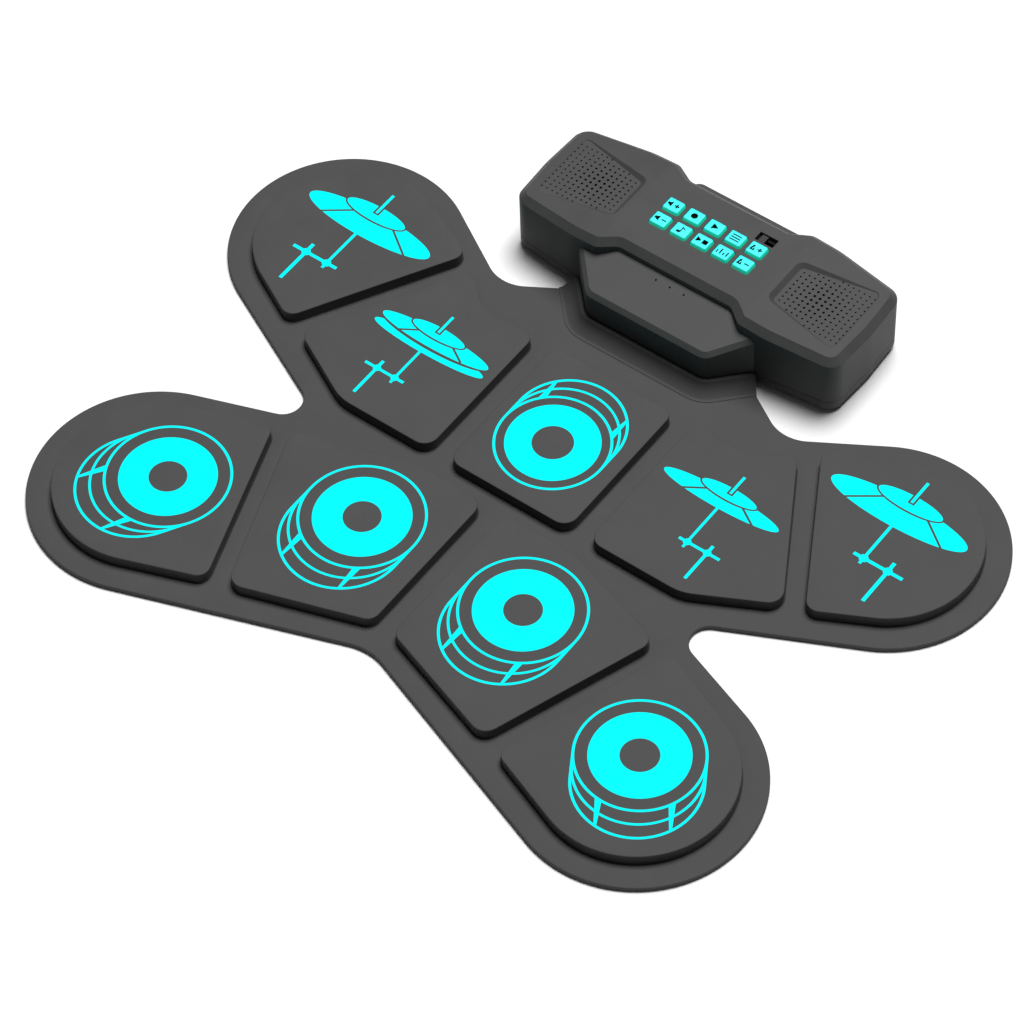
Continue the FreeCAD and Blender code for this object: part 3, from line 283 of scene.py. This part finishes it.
BASE_TOP = 1.0
SKIN_FOOT = 1.25
MAT_TOP = 3.0
mat_silicone = moulded("mat_silicone", (0.058, 0.058, 0.058), (0.071, 0.071, 0.071), (0.66, 0.78),
                       Specular_IOR_Level=0.22)
sheet = Shell()
rim = [sheet.ring(belt(MAT_OUTLINE, grow), z) for grow, z in (
    (-0.7, 0.0), (-0.2, 0.12), (0.0, 0.4), (0.0, 0.95), (-0.12, 1.1), (-1.3, 1.1), (-1.4, BASE_TOP))]
sheet.wall(rim)
sheet.cover(rim[0], down=True, spacing=30)
sheet.cover(rim[-1], spacing=30)
base_sheet = sheet.build("silicone_base_sheet")
coat(base_sheet, mat_silicone)
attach(base_sheet, "kit")
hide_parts("mat_base_sheet")

skin = Shell()
rim = [skin.ring(belt(MAT_OUTLINE, grow), z) for grow, z in (
    (-1.4, SKIN_FOOT), (-1.3, 1.12), (-0.12, 1.12), (0.0, 1.25), (0.0, 2.3), (-0.12, 2.68), (-0.4, 2.92),
    (-0.9, MAT_TOP))]
skin.wall(rim)
mouths, throats = [], []
for outline in PADS.values():
    well = [skin.ring(belt(outline, grow), z) for grow, z in (
        (0.9, MAT_TOP), (0.55, 2.9), (0.38, 2.7), (0.35, 2.3), (0.35, SKIN_FOOT))]
    skin.wall(well)
    mouths.append(well[0])
    throats.append(well[-1])
skin.cover(rim[-1], mouths, spacing=7)
skin.cover(rim[0], throats, spacing=20, down=True)
top_skin = skin.build("silicone_top_skin")
coat(top_skin, mat_silicone)
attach(top_skin, "kit")
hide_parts("mat_top_skin")

# ------------------------------------------------------------------ film, sensors and ribbon
# A sheet of smoked polyester printed with dull silver tracks lies between the mat's two layers, with a round
# force sensor under each pad. Its flat tail is folded up and runs back to the main board.
film_print = moulded("film_print", (0.024, 0.022, 0.018), (0.036, 0.033, 0.027), (0.35, 0.5),
                     grain=900, patches=20, Specular_IOR_Level=0.2)
tree = film_print.node_tree
tracks = tree.nodes.new("ShaderNodeTexWave")
tracks.inputs["Scale"].default_value = 160
tracks.inputs["Distortion"].default_value = 1.2
tracks.inputs["Detail"].default_value = 1
track_place = tree.nodes.new("ShaderNodeTexCoord")
tree.links.new(track_place.outputs["Object"], tracks.inputs["Vector"])
track_edge = tree.nodes.new("ShaderNodeValToRGB")
track_edge.color_ramp.elements[0].position = 0.72
track_edge.color_ramp.elements[1].position = 0.76
tree.links.new(tracks.outputs["Fac"], track_edge.inputs["Fac"])
silver = tree.nodes.new("ShaderNodeMix")
silver.data_type = "RGBA"
silver.inputs[7].default_value = (0.16, 0.16, 0.155, 1)
shader = tree.nodes["Principled BSDF"]
tree.links.new(track_edge.outputs["Color"], silver.inputs[0])
tree.links.new(shader.inputs["Base Color"].links[0].from_socket, silver.inputs[6])
tree.links.new(silver.outputs[2], shader.inputs["Base Color"])
sensor_carbon = moulded("sensor_carbon", (0.02, 0.02, 0.022), (0.045, 0.045, 0.05), (0.45, 0.6), grain=4000)
for name in ("sensor_film", "ribbon_cable"):
    coat(nodes[name], film_print)
coat(nodes["pad_sensors"], sensor_carbon)

# ------------------------------------------------------------------ striking pads
# Nine solid pads of softer grey silicone, one in each well, with a bead round the foot that seals the well.
# The top edge is slightly broken so a stick doesn't catch it.
PAD_FOOT = 2.25
PAD_TOP = 10.25
pad_silicone = moulded("pad_silicone", (0.058, 0.058, 0.058), (0.072, 0.072, 0.072), (0.64, 0.76),
                       Specular_IOR_Level=0.22)
for drum, outline in PADS.items():
    pad = Shell()
    side = [pad.ring(belt(outline, grow), z) for grow, z in (
        (-0.1, PAD_FOOT), (0.2, 2.35), (0.28, 2.5), (0.28, 2.85), (0.05, 3.1), (0.0, 3.3), (0.0, 9.6),
        (-0.05, 9.86), (-0.18, 10.07), (-0.37, 10.2), (-0.65, PAD_TOP))]
    pad.wall(side)
    pad.cover(side[-1], spacing=6)
    pad.cover(side[0], spacing=16, down=True)
    piece = pad.build(drum + "_silicone_pad")
    coat(piece, pad_silicone)
    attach(piece, drum + "_head")
    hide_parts(drum + "_pad")

# ------------------------------------------------------------------ printed drum and cymbal marks
# Each pad carries a thick screen print in bright cyan ink: a drum seen from above with its shell behind, or a
# cymbal on its stand. The ink is a film a few hundredths of a millimetre thick, cured onto the silicone.
INK_LIFT = 0.05
INK_SINK = 0.03


def oval(x, y, wide, deep=None, parts=96):
    """An oval by its half width and half depth, or a circle."""
    deep = deep or wide
    return [(x + wide * math.cos(2 * math.pi * k / parts), y + deep * math.sin(2 * math.pi * k / parts))
            for k in range(parts)]


def bar(x1, y1, x2, y2, width, end=None):
    """A straight bar, width wide at its start and end wide at its finish."""
    end = end or width
    long = math.hypot(x2 - x1, y2 - y1)
    u, v = (y1 - y2) / long / 2, (x2 - x1) / long / 2
    return [(x1 - u * width, y1 - v * width), (x2 - u * end, y2 - v * end),
            (x2 + u * end, y2 + v * end), (x1 + u * width, y1 + v * width)]


def hull_of_two(x1, y1, x2, y2, radius):
    """The outline of two equal circles with a band pulled tight round them."""
    return belt([(x1, y1, radius), (x2, y2, radius + 0.0001)], step=1.2)


def print_film(name, layers, top, lift=INK_LIFT, sink=INK_SINK):
    """A printed film. layers are (inked, outline), laid down in turn: ink, or a gap where inked is false."""
    flat, marks = [], []
    for _, outline in layers:
        marks.append(list(range(len(flat), len(flat) + len(outline))))
        flat += [Vector(point) for point in outline]
    found, _, triangles, _, _, owners = delaunay_2d_cdt(flat, [], marks, 0, 1e-6, True)
    kept = [tuple(t) for t, owner in zip(triangles, owners) if len(owner) and layers[max(owner)][0]]
    film = Shell()
    place = {}
    for v in sorted({v for t in kept for v in t}):
        place[v] = len(film.points)
        film.points += [(found[v].x, found[v].y, top + lift), (found[v].x, found[v].y, top - sink)]
    borders = {}
    for t in kept:
        film.faces += [tuple(place[v] for v in t), tuple(place[v] + 1 for v in reversed(t))]
        for i in range(3):
            borders[(t[i], t[(i + 1) % 3])] = True
    for a, b in borders:
        if (b, a) not in borders:
            film.faces.append((place[a] + 1, place[b] + 1, place[b], place[a]))
    return film.build(name, smooth=30)


LINE = 1.6
LUG_FRONT, LUG_BACK = 4.0, 1.5


def drum_mark(x, y, disc, hole, hoop, back, spread):
    """Layers of a drum of radius hoop seen from above.

    back is how far its shell shows behind it, with a hoop halfway and a lug spread degrees to each side."""
    back_x, back_y = back
    inner = hoop - LINE
    middle_x, middle_y = x + back_x * 0.5, y + back_y * 0.5
    layers = [
        (True, hull_of_two(x, y, x + back_x, y + back_y, hoop)),
        (False, hull_of_two(x, y, x + back_x, y + back_y, inner)),
        (True, oval(middle_x, middle_y, hoop - 0.1, parts=160)),
        (False, oval(middle_x, middle_y, inner, parts=160))]
    away = math.atan2(back_y, back_x)
    for turn in (away - math.radians(spread), away + math.radians(spread)):
        c, s = math.cos(turn), math.sin(turn)
        far = hoop - LINE / 2
        layers.append((True, bar(x + c * inner, y + s * inner, x + back_x + c * far, y + back_y + s * far,
                                 LUG_FRONT, LUG_BACK)))
    return layers + [
        (True, oval(x, y, hoop, parts=160)),
        (False, oval(x, y, inner, parts=160)),
        (True, oval(x, y, disc, parts=140)),
        (False, oval(x, y, hole, parts=80))]


GAP = 1.2


def cymbal_mark(bow, bell, rod, arm, leg, slits, under=None):
    """Layers of a cymbal on its stand.

    bow, bell and under are ovals. rod is (x, top, width), arm is (y, start, end, width) and leg is
    (x, top, foot, width). slits are the lines in the bow, each from its rim to its bell."""
    bow_x, bow_y, bow_wide, bow_deep = bow
    bell_x, bell_y, bell_wide, bell_deep = bell
    rod_x, rod_top, rod_width = rod
    arm_y, arm_start, arm_end, arm_width = arm
    leg_x, leg_top, leg_foot, leg_width = leg
    layers = [(True, bar(rod_x, bow_y, rod_x, arm_y, rod_width))]
    if under:
        layers.append((True, oval(*under)))
        layers.append((False, oval(bow_x, bow_y, bow_wide + GAP, bow_deep + 2.1)))
    layers.append((True, oval(*bow)))
    for x1, y1, x2, y2 in slits:
        before = 0.0 if under else 0.3
        run_x, run_y = x2 - x1, y2 - y1
        start = (x1 - run_x * before, y1 - run_y * before)
        end = (x2 + run_x * 0.3, y2 + run_y * 0.3)
        layers.append((False, bar(*start, *end, GAP + 0.1)))
    layers.append((False, oval(bell_x, bell_y, bell_wide + GAP, bell_deep + GAP + 0.05)))
    layers.append((True, oval(*bell)))
    socket = bell_y + bell_deep * 0.1
    bell_top = bell_y + bell_deep
    layers.append((False, bar(rod_x, socket - 1.1, rod_x, bell_top + 0.6, rod_width + 2 * GAP)))
    layers.append((True, bar(rod_x, socket, rod_x, rod_top, rod_width)))
    layers.append((True, bar(arm_start, arm_y, arm_end, arm_y, arm_width)))
    layers.append((True, bar(leg_x, leg_top, leg_x, leg_foot, leg_width)))
    layers.append((True, bar(rod_x, arm_y, rod_x, arm_y - 4.4, rod_width)))
    for x in (rod_x, leg_x):
        layers.append((True, oval(x, arm_y, arm_width * 1.3, parts=8)))
    return layers


MARKS = {
    "floor_tom": drum_mark(165.1, -133.7, disc=28.3, hole=11.0, hoop=36.9, back=(9.0, -15.0), spread=34),
    "high_tom": drum_mark(56.1, -92.3, disc=28.3, hole=11.0, hoop=36.9, back=(0.0, -17.5), spread=34),
    "snare": drum_mark(-56.1, -92.5, disc=28.3, hole=11.0, hoop=36.9, back=(0.0, -17.5), spread=34),
    "low_tom": drum_mark(-163.1, -133.7, disc=28.3, hole=11.0, hoop=36.9, back=(-9.0, -15.0), spread=34),
    "bass_drum": drum_mark(-0.75, 12.4, disc=27.7, hole=12.1, hoop=34.3, back=(0.0, 15.0), spread=48),
    "crash": cymbal_mark(
        bow=(-186.5, 82.1, 44.3, 10.2), bell=(-188.5, 91.2, 21.0, 5.7), rod=(-188.7, 108.6, 1.9),
        arm=(43.9, -213.3, -181.4, 2.2), leg=(-203.9, 51.0, 19.4, 2.3),
        slits=((-216.8, 74.4, -200.6, 86.3), (-155.9, 74.9, -172.6, 86.9))),
    "splash": cymbal_mark(
        bow=(186.4, 84.3, 45.2, 10.3), bell=(188.0, 93.8, 21.2, 5.6), rod=(188.2, 111.4, 1.9),
        arm=(46.5, 181.5, 213.9, 2.2), leg=(204.2, 53.5, 21.6, 2.3),
        slits=((155.2, 76.7, 173.4, 89.7), (217.6, 78.0, 201.7, 89.6))),
    "hi_hat": cymbal_mark(
        bow=(-100.9, 34.0, 37.9, 6.4), bell=(-102.2, 39.0, 18.4, 4.55), rod=(-102.9, 53.8, 1.7),
        arm=(-2.0, -124.2, -96.5, 1.9), leg=(-115.7, 4.2, -23.7, 2.0),
        slits=((-123.6, 28.2, -112.8, 35.0), (-78.7, 28.8, -89.1, 35.2)), under=(-100.8, 27.3, 39.0, 5.4)),
    "ride": cymbal_mark(
        bow=(100.2, 34.4, 39.0, 6.3), bell=(101.7, 40.3, 18.4, 4.45), rod=(102.1, 55.0, 1.7),
        arm=(-1.1, 96.5, 124.1, 1.9), leg=(115.7, 4.8, -22.6, 2.0),
        slits=((78.2, 29.5, 89.6, 36.8), (123.8, 29.8, 114.1, 35.9))),
}
cyan_ink = moulded("cyan_ink", (0.0, 0.90, 0.92), (0.0, 0.98, 1.0), (0.5, 0.62),
                   grain=1500, patches=60, depth=0.00002, Specular_IOR_Level=0.03)
for drum, layers in MARKS.items():
    mark = print_film(drum + "_print", layers, PAD_TOP)
    coat(mark, cyan_ink)
    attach(mark, drum + "_head")

# ------------------------------------------------------------------ collar
# A soft moulding bonded to the mat's tongue slopes up round the dock and ends in a thin lip that hugs its
# walls. Its foot has a small step and its lip a rounded edge.
DOCK_OUTLINE = both_sides([(37.5, 109.9, 9.5), (64.6, 129.0, 3.0)])
COLLAR_TOP = 10.2
COLLAR_REAR = 121.4
CUT_FRONT = (72.2, 110.1)
CUT_REAR = (63.0, COLLAR_REAR)
COLLAR_PARTS = 160
collar = Shell()


def past_end(x, y):
    """Above zero past the slanted cut at the mat's heel or behind the collar's rear end."""
    run_x, run_y = CUT_REAR[0] - CUT_FRONT[0], CUT_REAR[1] - CUT_FRONT[1]
    return max((abs(x) - CUT_FRONT[0]) * run_y - (y - CUT_FRONT[1]) * run_x, y - COLLAR_REAR)


def collar_line(grow, z):
    """Points of one contour of the collar, left to right, evenly spaced between its two ends."""
    outline = belt(DOCK_OUTLINE, grow, step=1.5)
    points = []
    for (x, y), (x2, y2) in zip(outline, outline[1:]):
        inside = past_end(x, y) <= 0
        if inside:
            points.append((x, y))
        if inside != (past_end(x2, y2) <= 0):
            low, high = 0.0, 1.0
            for _ in range(30):
                middle = (low + high) / 2
                if (past_end(x + (x2 - x) * middle, y + (y2 - y) * middle) <= 0) == inside:
                    low = middle
                else:
                    high = middle
            points.append((x + (x2 - x) * low, y + (y2 - y) * low))
    points.sort(key=lambda p: math.atan2(p[1] - 200.0, p[0]))
    lengths = [0.0]
    for (x, y), (x2, y2) in zip(points, points[1:]):
        lengths.append(lengths[-1] + math.hypot(x2 - x, y2 - y))
    line, k = [], 0
    for i in range(COLLAR_PARTS + 1):
        target = lengths[-1] * i / COLLAR_PARTS
        while k < len(lengths) - 2 and lengths[k + 1] < target:
            k += 1
        share = (target - lengths[k]) / max(1e-9, lengths[k + 1] - lengths[k])
        (x, y), (x2, y2) = points[k], points[k + 1]
        line.append((x + (x2 - x) * share, y + (y2 - y) * share))
    return collar.ring(line, z)


collar_profile = (
    (0.3, MAT_TOP), (12.6, MAT_TOP), (12.55, 3.25), (12.4, 3.38), (12.1, 3.43), (10.9, 3.43),
    (10.4, 3.6), (7.0, 6.1), (3.6, 8.7), (3.2, 9.5), (2.85, 9.95), (2.4, 10.15), (1.5, COLLAR_TOP),
    (0.9, 10.15), (0.5, 9.9), (0.3, 9.5))
sections = [collar_line(grow, z) for grow, z in collar_profile]
for a, b in zip(sections, sections[1:] + sections[:1]):
    for i in range(len(a) - 1):
        collar.faces.append((a[i], a[i + 1], b[i + 1], b[i]))
collar.faces.append(tuple(s[0] for s in sections))
collar.faces.append(tuple(s[-1] for s in reversed(sections)))
mat_collar = collar.build("mat_collar_moulding", smooth=50)
coat(mat_collar, mat_silicone)
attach(mat_collar, "kit")
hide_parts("mat_collar")

# ------------------------------------------------------------------ dock
# The dock is a hollow ABS cover that slopes up to the console and clamps the mat's tongue under a flat plate.
# Three clear lamps on a small board shine through pinholes in its top.
case_plastic = moulded("case_plastic", (0.054, 0.054, 0.054), (0.070, 0.070, 0.070), (0.5, 0.62),
                       grain=3400, edge=0.00035, Specular_IOR_Level=0.2)
# Painted light: the dock is the same ABS as the case, but its material is made about a third lighter to stand
# in for the light its forward-sloping top catches.
dock_plastic_painted_light = moulded("dock_plastic_painted_light", (0.072, 0.072, 0.072), (0.088, 0.088, 0.088), (0.5, 0.62),
                       grain=3400, edge=0.00035, Specular_IOR_Level=0.2)
lamp_resin = moulded("lamp_resin", (0.8, 0.8, 0.74), (0.9, 0.9, 0.86), (0.08, 0.16),
                     grain=500, depth=0.00001, Transmission_Weight=0.7, IOR=1.5)
coat(nodes["dock_cover"], dock_plastic_painted_light)
coat(nodes["dock_clamp_plate"], case_plastic)
coat(nodes["indicator_leds"], lamp_resin)

# ------------------------------------------------------------------ console case
# Two ABS shells with a fine spark-eroded texture meet at a thin seam near the ground, held by screws from
# below. A small cover behind hides the ports. Four rubber feet sit in shallow sockets.
for name in ("top_case", "bottom_case", "port_cover"):
    coat(nodes[name], case_plastic)
foot_rubber = moulded("foot_rubber", (0.018, 0.018, 0.018), (0.03, 0.03, 0.03), (0.7, 0.85),
                      grain=1800, depth=0.00006)
coat(nodes["rubber_feet"], foot_rubber)

# ------------------------------------------------------------------ screws
# Zinc-plated steel screws, turned and rolled; their metal has a fine even grain, without the rings of the
# lathe.
zinc_steel = moulded("zinc_steel", (0.5, 0.51, 0.52), (0.62, 0.63, 0.64), (0.28, 0.4),
                     grain=5000, depth=0.00001, Metallic=1.0)
for name in ("case_screws", "board_screws"):
    coat(nodes[name], zinc_steel)

# ------------------------------------------------------------------ boards and battery
# Glass-fibre boards under green solder mask with copper tracks, and a lithium pack in blue shrink film held
# down by a black strap.
board_green = moulded("board_green", (0.006, 0.10, 0.03), (0.01, 0.14, 0.045), (0.25, 0.4), grain=1200,
                      Coat_Weight=0.3)
tree = board_green.node_tree
copper = tree.nodes.new("ShaderNodeTexBrick")
copper.inputs["Scale"].default_value = 90
copper.inputs["Mortar Size"].default_value = 0.03
copper_place = tree.nodes.new("ShaderNodeTexCoord")
tree.links.new(copper_place.outputs["Object"], copper.inputs["Vector"])
tracks_over = tree.nodes.new("ShaderNodeMix")
tracks_over.data_type = "RGBA"
tracks_over.inputs[7].default_value = (0.02, 0.22, 0.08, 1)
shader = tree.nodes["Principled BSDF"]
tree.links.new(copper.outputs["Fac"], tracks_over.inputs[0])
tree.links.new(shader.inputs["Base Color"].links[0].from_socket, tracks_over.inputs[6])
tree.links.new(tracks_over.outputs[2], shader.inputs["Base Color"])
for name in ("main_board", "key_board", "led_board", "port_board"):
    coat(nodes[name], board_green)
battery_film = moulded("battery_film", (0.02, 0.08, 0.32), (0.03, 0.11, 0.4), (0.2, 0.35),
                       grain=300, patches=80, depth=0.0002)
coat(nodes["battery_pack"], battery_film)
strap_black = moulded("strap_black", (0.012, 0.012, 0.012), (0.022, 0.022, 0.022), (0.45, 0.6), grain=2200)
coat(nodes["battery_strap"], strap_black)

# ------------------------------------------------------------------ speakers
# A pressed black paper cone in a steel basket over a ferrite magnet, seated on a foam gasket under each
# grille.
cone_paper = moulded("cone_paper", (0.012, 0.012, 0.012), (0.03, 0.029, 0.028), (0.8, 0.92),
                     grain=700, depth=0.0003)
ferrite = moulded("ferrite", (0.05, 0.05, 0.055), (0.09, 0.09, 0.095), (0.5, 0.7), grain=1500, depth=0.0001)
gasket_foam = moulded("gasket_foam", (0.02, 0.02, 0.02), (0.035, 0.035, 0.035), (0.85, 0.95),
                      grain=1100, depth=0.0004)
for side in ("left", "right"):
    coat(nodes[side + "_speaker_basket"], zinc_steel)
    coat(nodes[side + "_speaker_cone"], cone_paper)
    coat(nodes[side + "_speaker_magnet"], ferrite)
    coat(nodes[side + "_speaker_gasket"], gasket_foam)

# ------------------------------------------------------------------ keys
# Ten caps moulded in cyan ABS with slightly tapered sides, a flange that keeps them in the case and a stem
# that presses the dome of the web below. Each has a small dark mark printed on its top. Their sides carry
# painted shade in a darker green-teal and a painted green glow.
KEY_PITCH_X, KEY_PITCH_Y, KEY_ROW_Y = 14.55, 13.2, 170.3
KEY_CORNER = 1.6
KEY_HALF_X, KEY_HALF_Y = 5.8, 5.1
KEYS = (("volume_up", "record", "play", "style", "tempo_up"),
        ("volume_down", "demo", "start_stop", "rhythm", "tempo_down"))
key_cyan = moulded("key_cyan", (0.03, 0.93, 0.92), (0.05, 1.0, 1.0), (0.38, 0.5), grain=2200, depth=0.00002,
                   Specular_IOR_Level=0.4)
tree = key_cyan.node_tree
shader = tree.nodes["Principled BSDF"]
# Painted shade: faces that tilt away from straight up are coloured a darker green-teal instead of the caps'
# own cyan.
facing = tree.nodes.new("ShaderNodeNewGeometry")
upward = tree.nodes.new("ShaderNodeSeparateXYZ")
side_shade_mask = tree.nodes.new("ShaderNodeMapRange")
side_shade_mask.inputs["From Min"].default_value = 0.3
side_shade_mask.inputs["From Max"].default_value = 0.9
tree.links.new(facing.outputs["Normal"], upward.inputs[0])
tree.links.new(upward.outputs["Z"], side_shade_mask.inputs["Value"])
painted_side_shade = tree.nodes.new("ShaderNodeMix")
painted_side_shade.data_type = "RGBA"
painted_side_shade.inputs[6].default_value = (0.01, 0.5, 0.33, 1)
tree.links.new(side_shade_mask.outputs["Result"], painted_side_shade.inputs[0])
tree.links.new(shader.inputs["Base Color"].links[0].from_socket, painted_side_shade.inputs[7])
tree.links.new(painted_side_shade.outputs[2], shader.inputs["Base Color"])
# Painted glow: the same side faces also emit a faint green light, though the caps are no lamp.
painted_side_glow = tree.nodes.new("ShaderNodeMix")
painted_side_glow.data_type = "RGBA"
painted_side_glow.inputs[6].default_value = (0.004, 0.3, 0.18, 1)
painted_side_glow.inputs[7].default_value = (0, 0, 0, 1)
tree.links.new(side_shade_mask.outputs["Result"], painted_side_glow.inputs[0])
tree.links.new(painted_side_glow.outputs[2], shader.inputs["Emission Color"])
shader.inputs["Emission Strength"].default_value = 1.0
mark_ink = moulded("mark_ink", (0.003, 0.02, 0.022), (0.006, 0.03, 0.032), (0.5, 0.6),
                   grain=3000, depth=0.00001)
STROKE = 0.85
PLUS = [(True, bar(0.6, 0.0, 3.8, 0.0, STROKE)), (True, bar(2.2, -1.6, 2.2, 1.6, STROKE))]
MINUS = [(True, bar(0.6, 0.0, 3.8, 0.0, STROKE))]
HORN = [(True, [(-4.0, -0.9), (-2.9, -0.9), (-1.1, -2.1), (-1.1, 2.1), (-2.9, 0.9), (-4.0, 0.9)])]
TICK = [
    (True, [(-4.0, -2.0), (-0.8, -2.0), (-1.8, 2.0), (-3.0, 2.0)]),
    (False, bar(-2.4, -1.1, -1.2, 2.2, 0.6))]
KEY_MARKS = {
    "volume_up": HORN + PLUS,
    "volume_down": HORN + MINUS,
    "tempo_up": TICK + PLUS,
    "tempo_down": TICK + MINUS,
    "record": [(True, oval(0, 0, 2.1, parts=40))],
    "play": [(True, [(-1.8, -2.3), (2.4, 0.0), (-1.8, 2.3)])],
    "style": [(True, bar(-3.2, y, 3.2, y, 0.8)) for y in (-1.9, 0.0, 1.9)],
    "demo": [(True, oval(-1.1, -1.6, 1.4, 1.0, parts=32)), (True, bar(0.0, -1.6, 0.0, 2.5, 0.7)),
             (True, bar(-0.2, 2.2, 2.0, 1.1, 0.9, 0.6))],
    "start_stop": [(True, [(-3.7, -2.0), (-0.4, 0.0), (-3.7, 2.0)]), (True, bar(0.5, 0.0, 3.8, 0.0, 3.3))],
    "rhythm": [(True, bar(x, -2.0, x, top, STROKE)) for x, top in (
        (-3.3, 0.2), (-1.1, 2.2), (1.1, -0.2), (3.3, 1.5))],
}
key_low, key_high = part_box("play_key")
KEY_TOP = key_high.z / MM
KEY_STEM_FOOT = key_low.z / MM
CAP_FOOT = 43.8
for row, names in enumerate(KEYS):
    for column, name in enumerate(names):
        x, y = (column - 2) * KEY_PITCH_X, KEY_ROW_Y - row * KEY_PITCH_Y
        square = [(x + i * (KEY_HALF_X - KEY_CORNER), y + j * (KEY_HALF_Y - KEY_CORNER), KEY_CORNER)
                  for i, j in ((-1, -1), (1, -1), (1, 1), (-1, 1))]
        cap = Shell()
        stem = [cap.ring(oval(x, y, radius, parts=32), z) for radius, z in (
            (1.5, KEY_STEM_FOOT), (1.8, KEY_STEM_FOOT + 0.3), (1.8, CAP_FOOT))]
        cap.cover(stem[0], down=True)
        cap.wall(stem)
        side = [cap.ring(belt(square, grow, step=0.5), z) for grow, z in (
            (0.9, CAP_FOOT), (0.9, CAP_FOOT + 1.1), (0.8, CAP_FOOT + 1.2), (0.0, CAP_FOOT + 1.2), (0.0, 47.3),
            (-0.5, 48.75), (-0.65, 49.05), (-0.88, 49.27), (-1.2, 49.38), (-1.5, KEY_TOP))]
        cap.cover(side[0], [stem[-1]], down=True)
        cap.wall(side)
        cap.cover(side[-1], spacing=1.5)
        piece = cap.build(name + "_cap")
        coat(piece, key_cyan)
        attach(piece, name + "_button")
        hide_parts(name + "_key")
        layers = [(inked, [(x + px, y + py) for px, py in outline]) for inked, outline in KEY_MARKS[name]]
        mark = print_film(name + "_mark", layers, KEY_TOP - 0.03, lift=0.03, sink=0.02)
        coat(mark, mark_ink)
        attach(mark, name + "_button")
web_rubber = moulded("web_rubber", (0.2, 0.21, 0.21), (0.26, 0.27, 0.27), (0.6, 0.7), grain=1500)
coat(nodes["keypad_web"], web_rubber)

# ------------------------------------------------------------------ slide switch
# A small slide switch on the key board stands under a slot in the case. Its grey knob stays where it is put.
knob_grey = moulded("knob_grey", (0.03, 0.03, 0.031), (0.045, 0.045, 0.046), (0.5, 0.65),
                    grain=2500, edge=0.0003, Specular_IOR_Level=0.2)
switch_black = moulded("switch_black", (0.006, 0.006, 0.006), (0.012, 0.012, 0.012), (0.5, 0.65),
                       grain=2500, Specular_IOR_Level=0.1)
coat(nodes["slide_switch_knob"], knob_grey)
coat(nodes["slide_switch_body"], switch_black)

# ------------------------------------------------------------------ ports
# Three 3.5 mm jacks in black nylon and a folded steel USB socket sit on a small board behind the rear cover.
jack_nylon = moulded("jack_nylon", (0.01, 0.01, 0.01), (0.02, 0.02, 0.02), (0.4, 0.55),
                     grain=2000, edge=0.0002)
for name in ("headphone_jack", "bass_pedal_jack", "hi_hat_pedal_jack"):
    coat(nodes[name], jack_nylon)
coat(nodes["usb_socket"], zinc_steel)

# ------------------------------------------------------------------ room
# A plain white table top, one big soft lamp overhead and a dim even room.
TABLE_HALF = 6
TABLE_Z = -0.0003
floor_mesh = bpy.data.meshes.new("table_top")
corners = [(x * TABLE_HALF, y * TABLE_HALF, TABLE_Z) for x, y in ((-1, -1), (1, -1), (1, 1), (-1, 1))]
floor_mesh.from_pydata(corners, [], [(0, 1, 2, 3)])
table_top = bpy.data.objects.new("table_top", floor_mesh)
bpy.context.scene.collection.objects.link(table_top)
table_white = moulded("table_white", (0.93, 0.93, 0.93), (0.95, 0.95, 0.95), (0.8, 0.9),
                      grain=300, patches=3, depth=0.00001, Specular_IOR_Level=0.0)
coat(table_top, table_white)

bpy.context.scene.view_settings.view_transform = "Standard"
world = bpy.data.worlds.new("room")
bpy.context.scene.world = world
world.use_nodes = True
world.node_tree.nodes["Background"].inputs["Color"].default_value = (1, 1, 1, 1)
world.node_tree.nodes["Background"].inputs["Strength"].default_value = 0.05


def soft_lamp(name, place, aim, size, power):
    """A round lamp, size across in metres, that shines from place to aim."""
    light = bpy.data.lights.new(name, "AREA")
    light.shape = "DISK"
    light.size = size
    light.energy = power
    lamp = bpy.data.objects.new(name, light)
    lamp.location = place
    lamp.rotation_mode = "QUATERNION"
    lamp.rotation_quaternion = (Vector(aim) - Vector(place)).to_track_quat("-Z", "Y")
    bpy.context.scene.collection.objects.link(lamp)


soft_lamp("overhead_lamp", (-0.2, 1.8, 5.9), (0, 0, 0), 3.4, 470)

camera_data = bpy.data.cameras.new("view")
camera_data.lens = 159.65
camera_data.sensor_width = 36.0
camera_data.clip_end = 50
camera = bpy.data.objects.new("view", camera_data)
camera.location = (0.98447, -1.26329, 2.01611)
camera.rotation_euler = [math.radians(turn) for turn in (37.9042, 1.4366, 36.7125)]
bpy.context.scene.collection.objects.link(camera)
bpy.context.scene.camera = camera

bpy.context.view_layer.update()
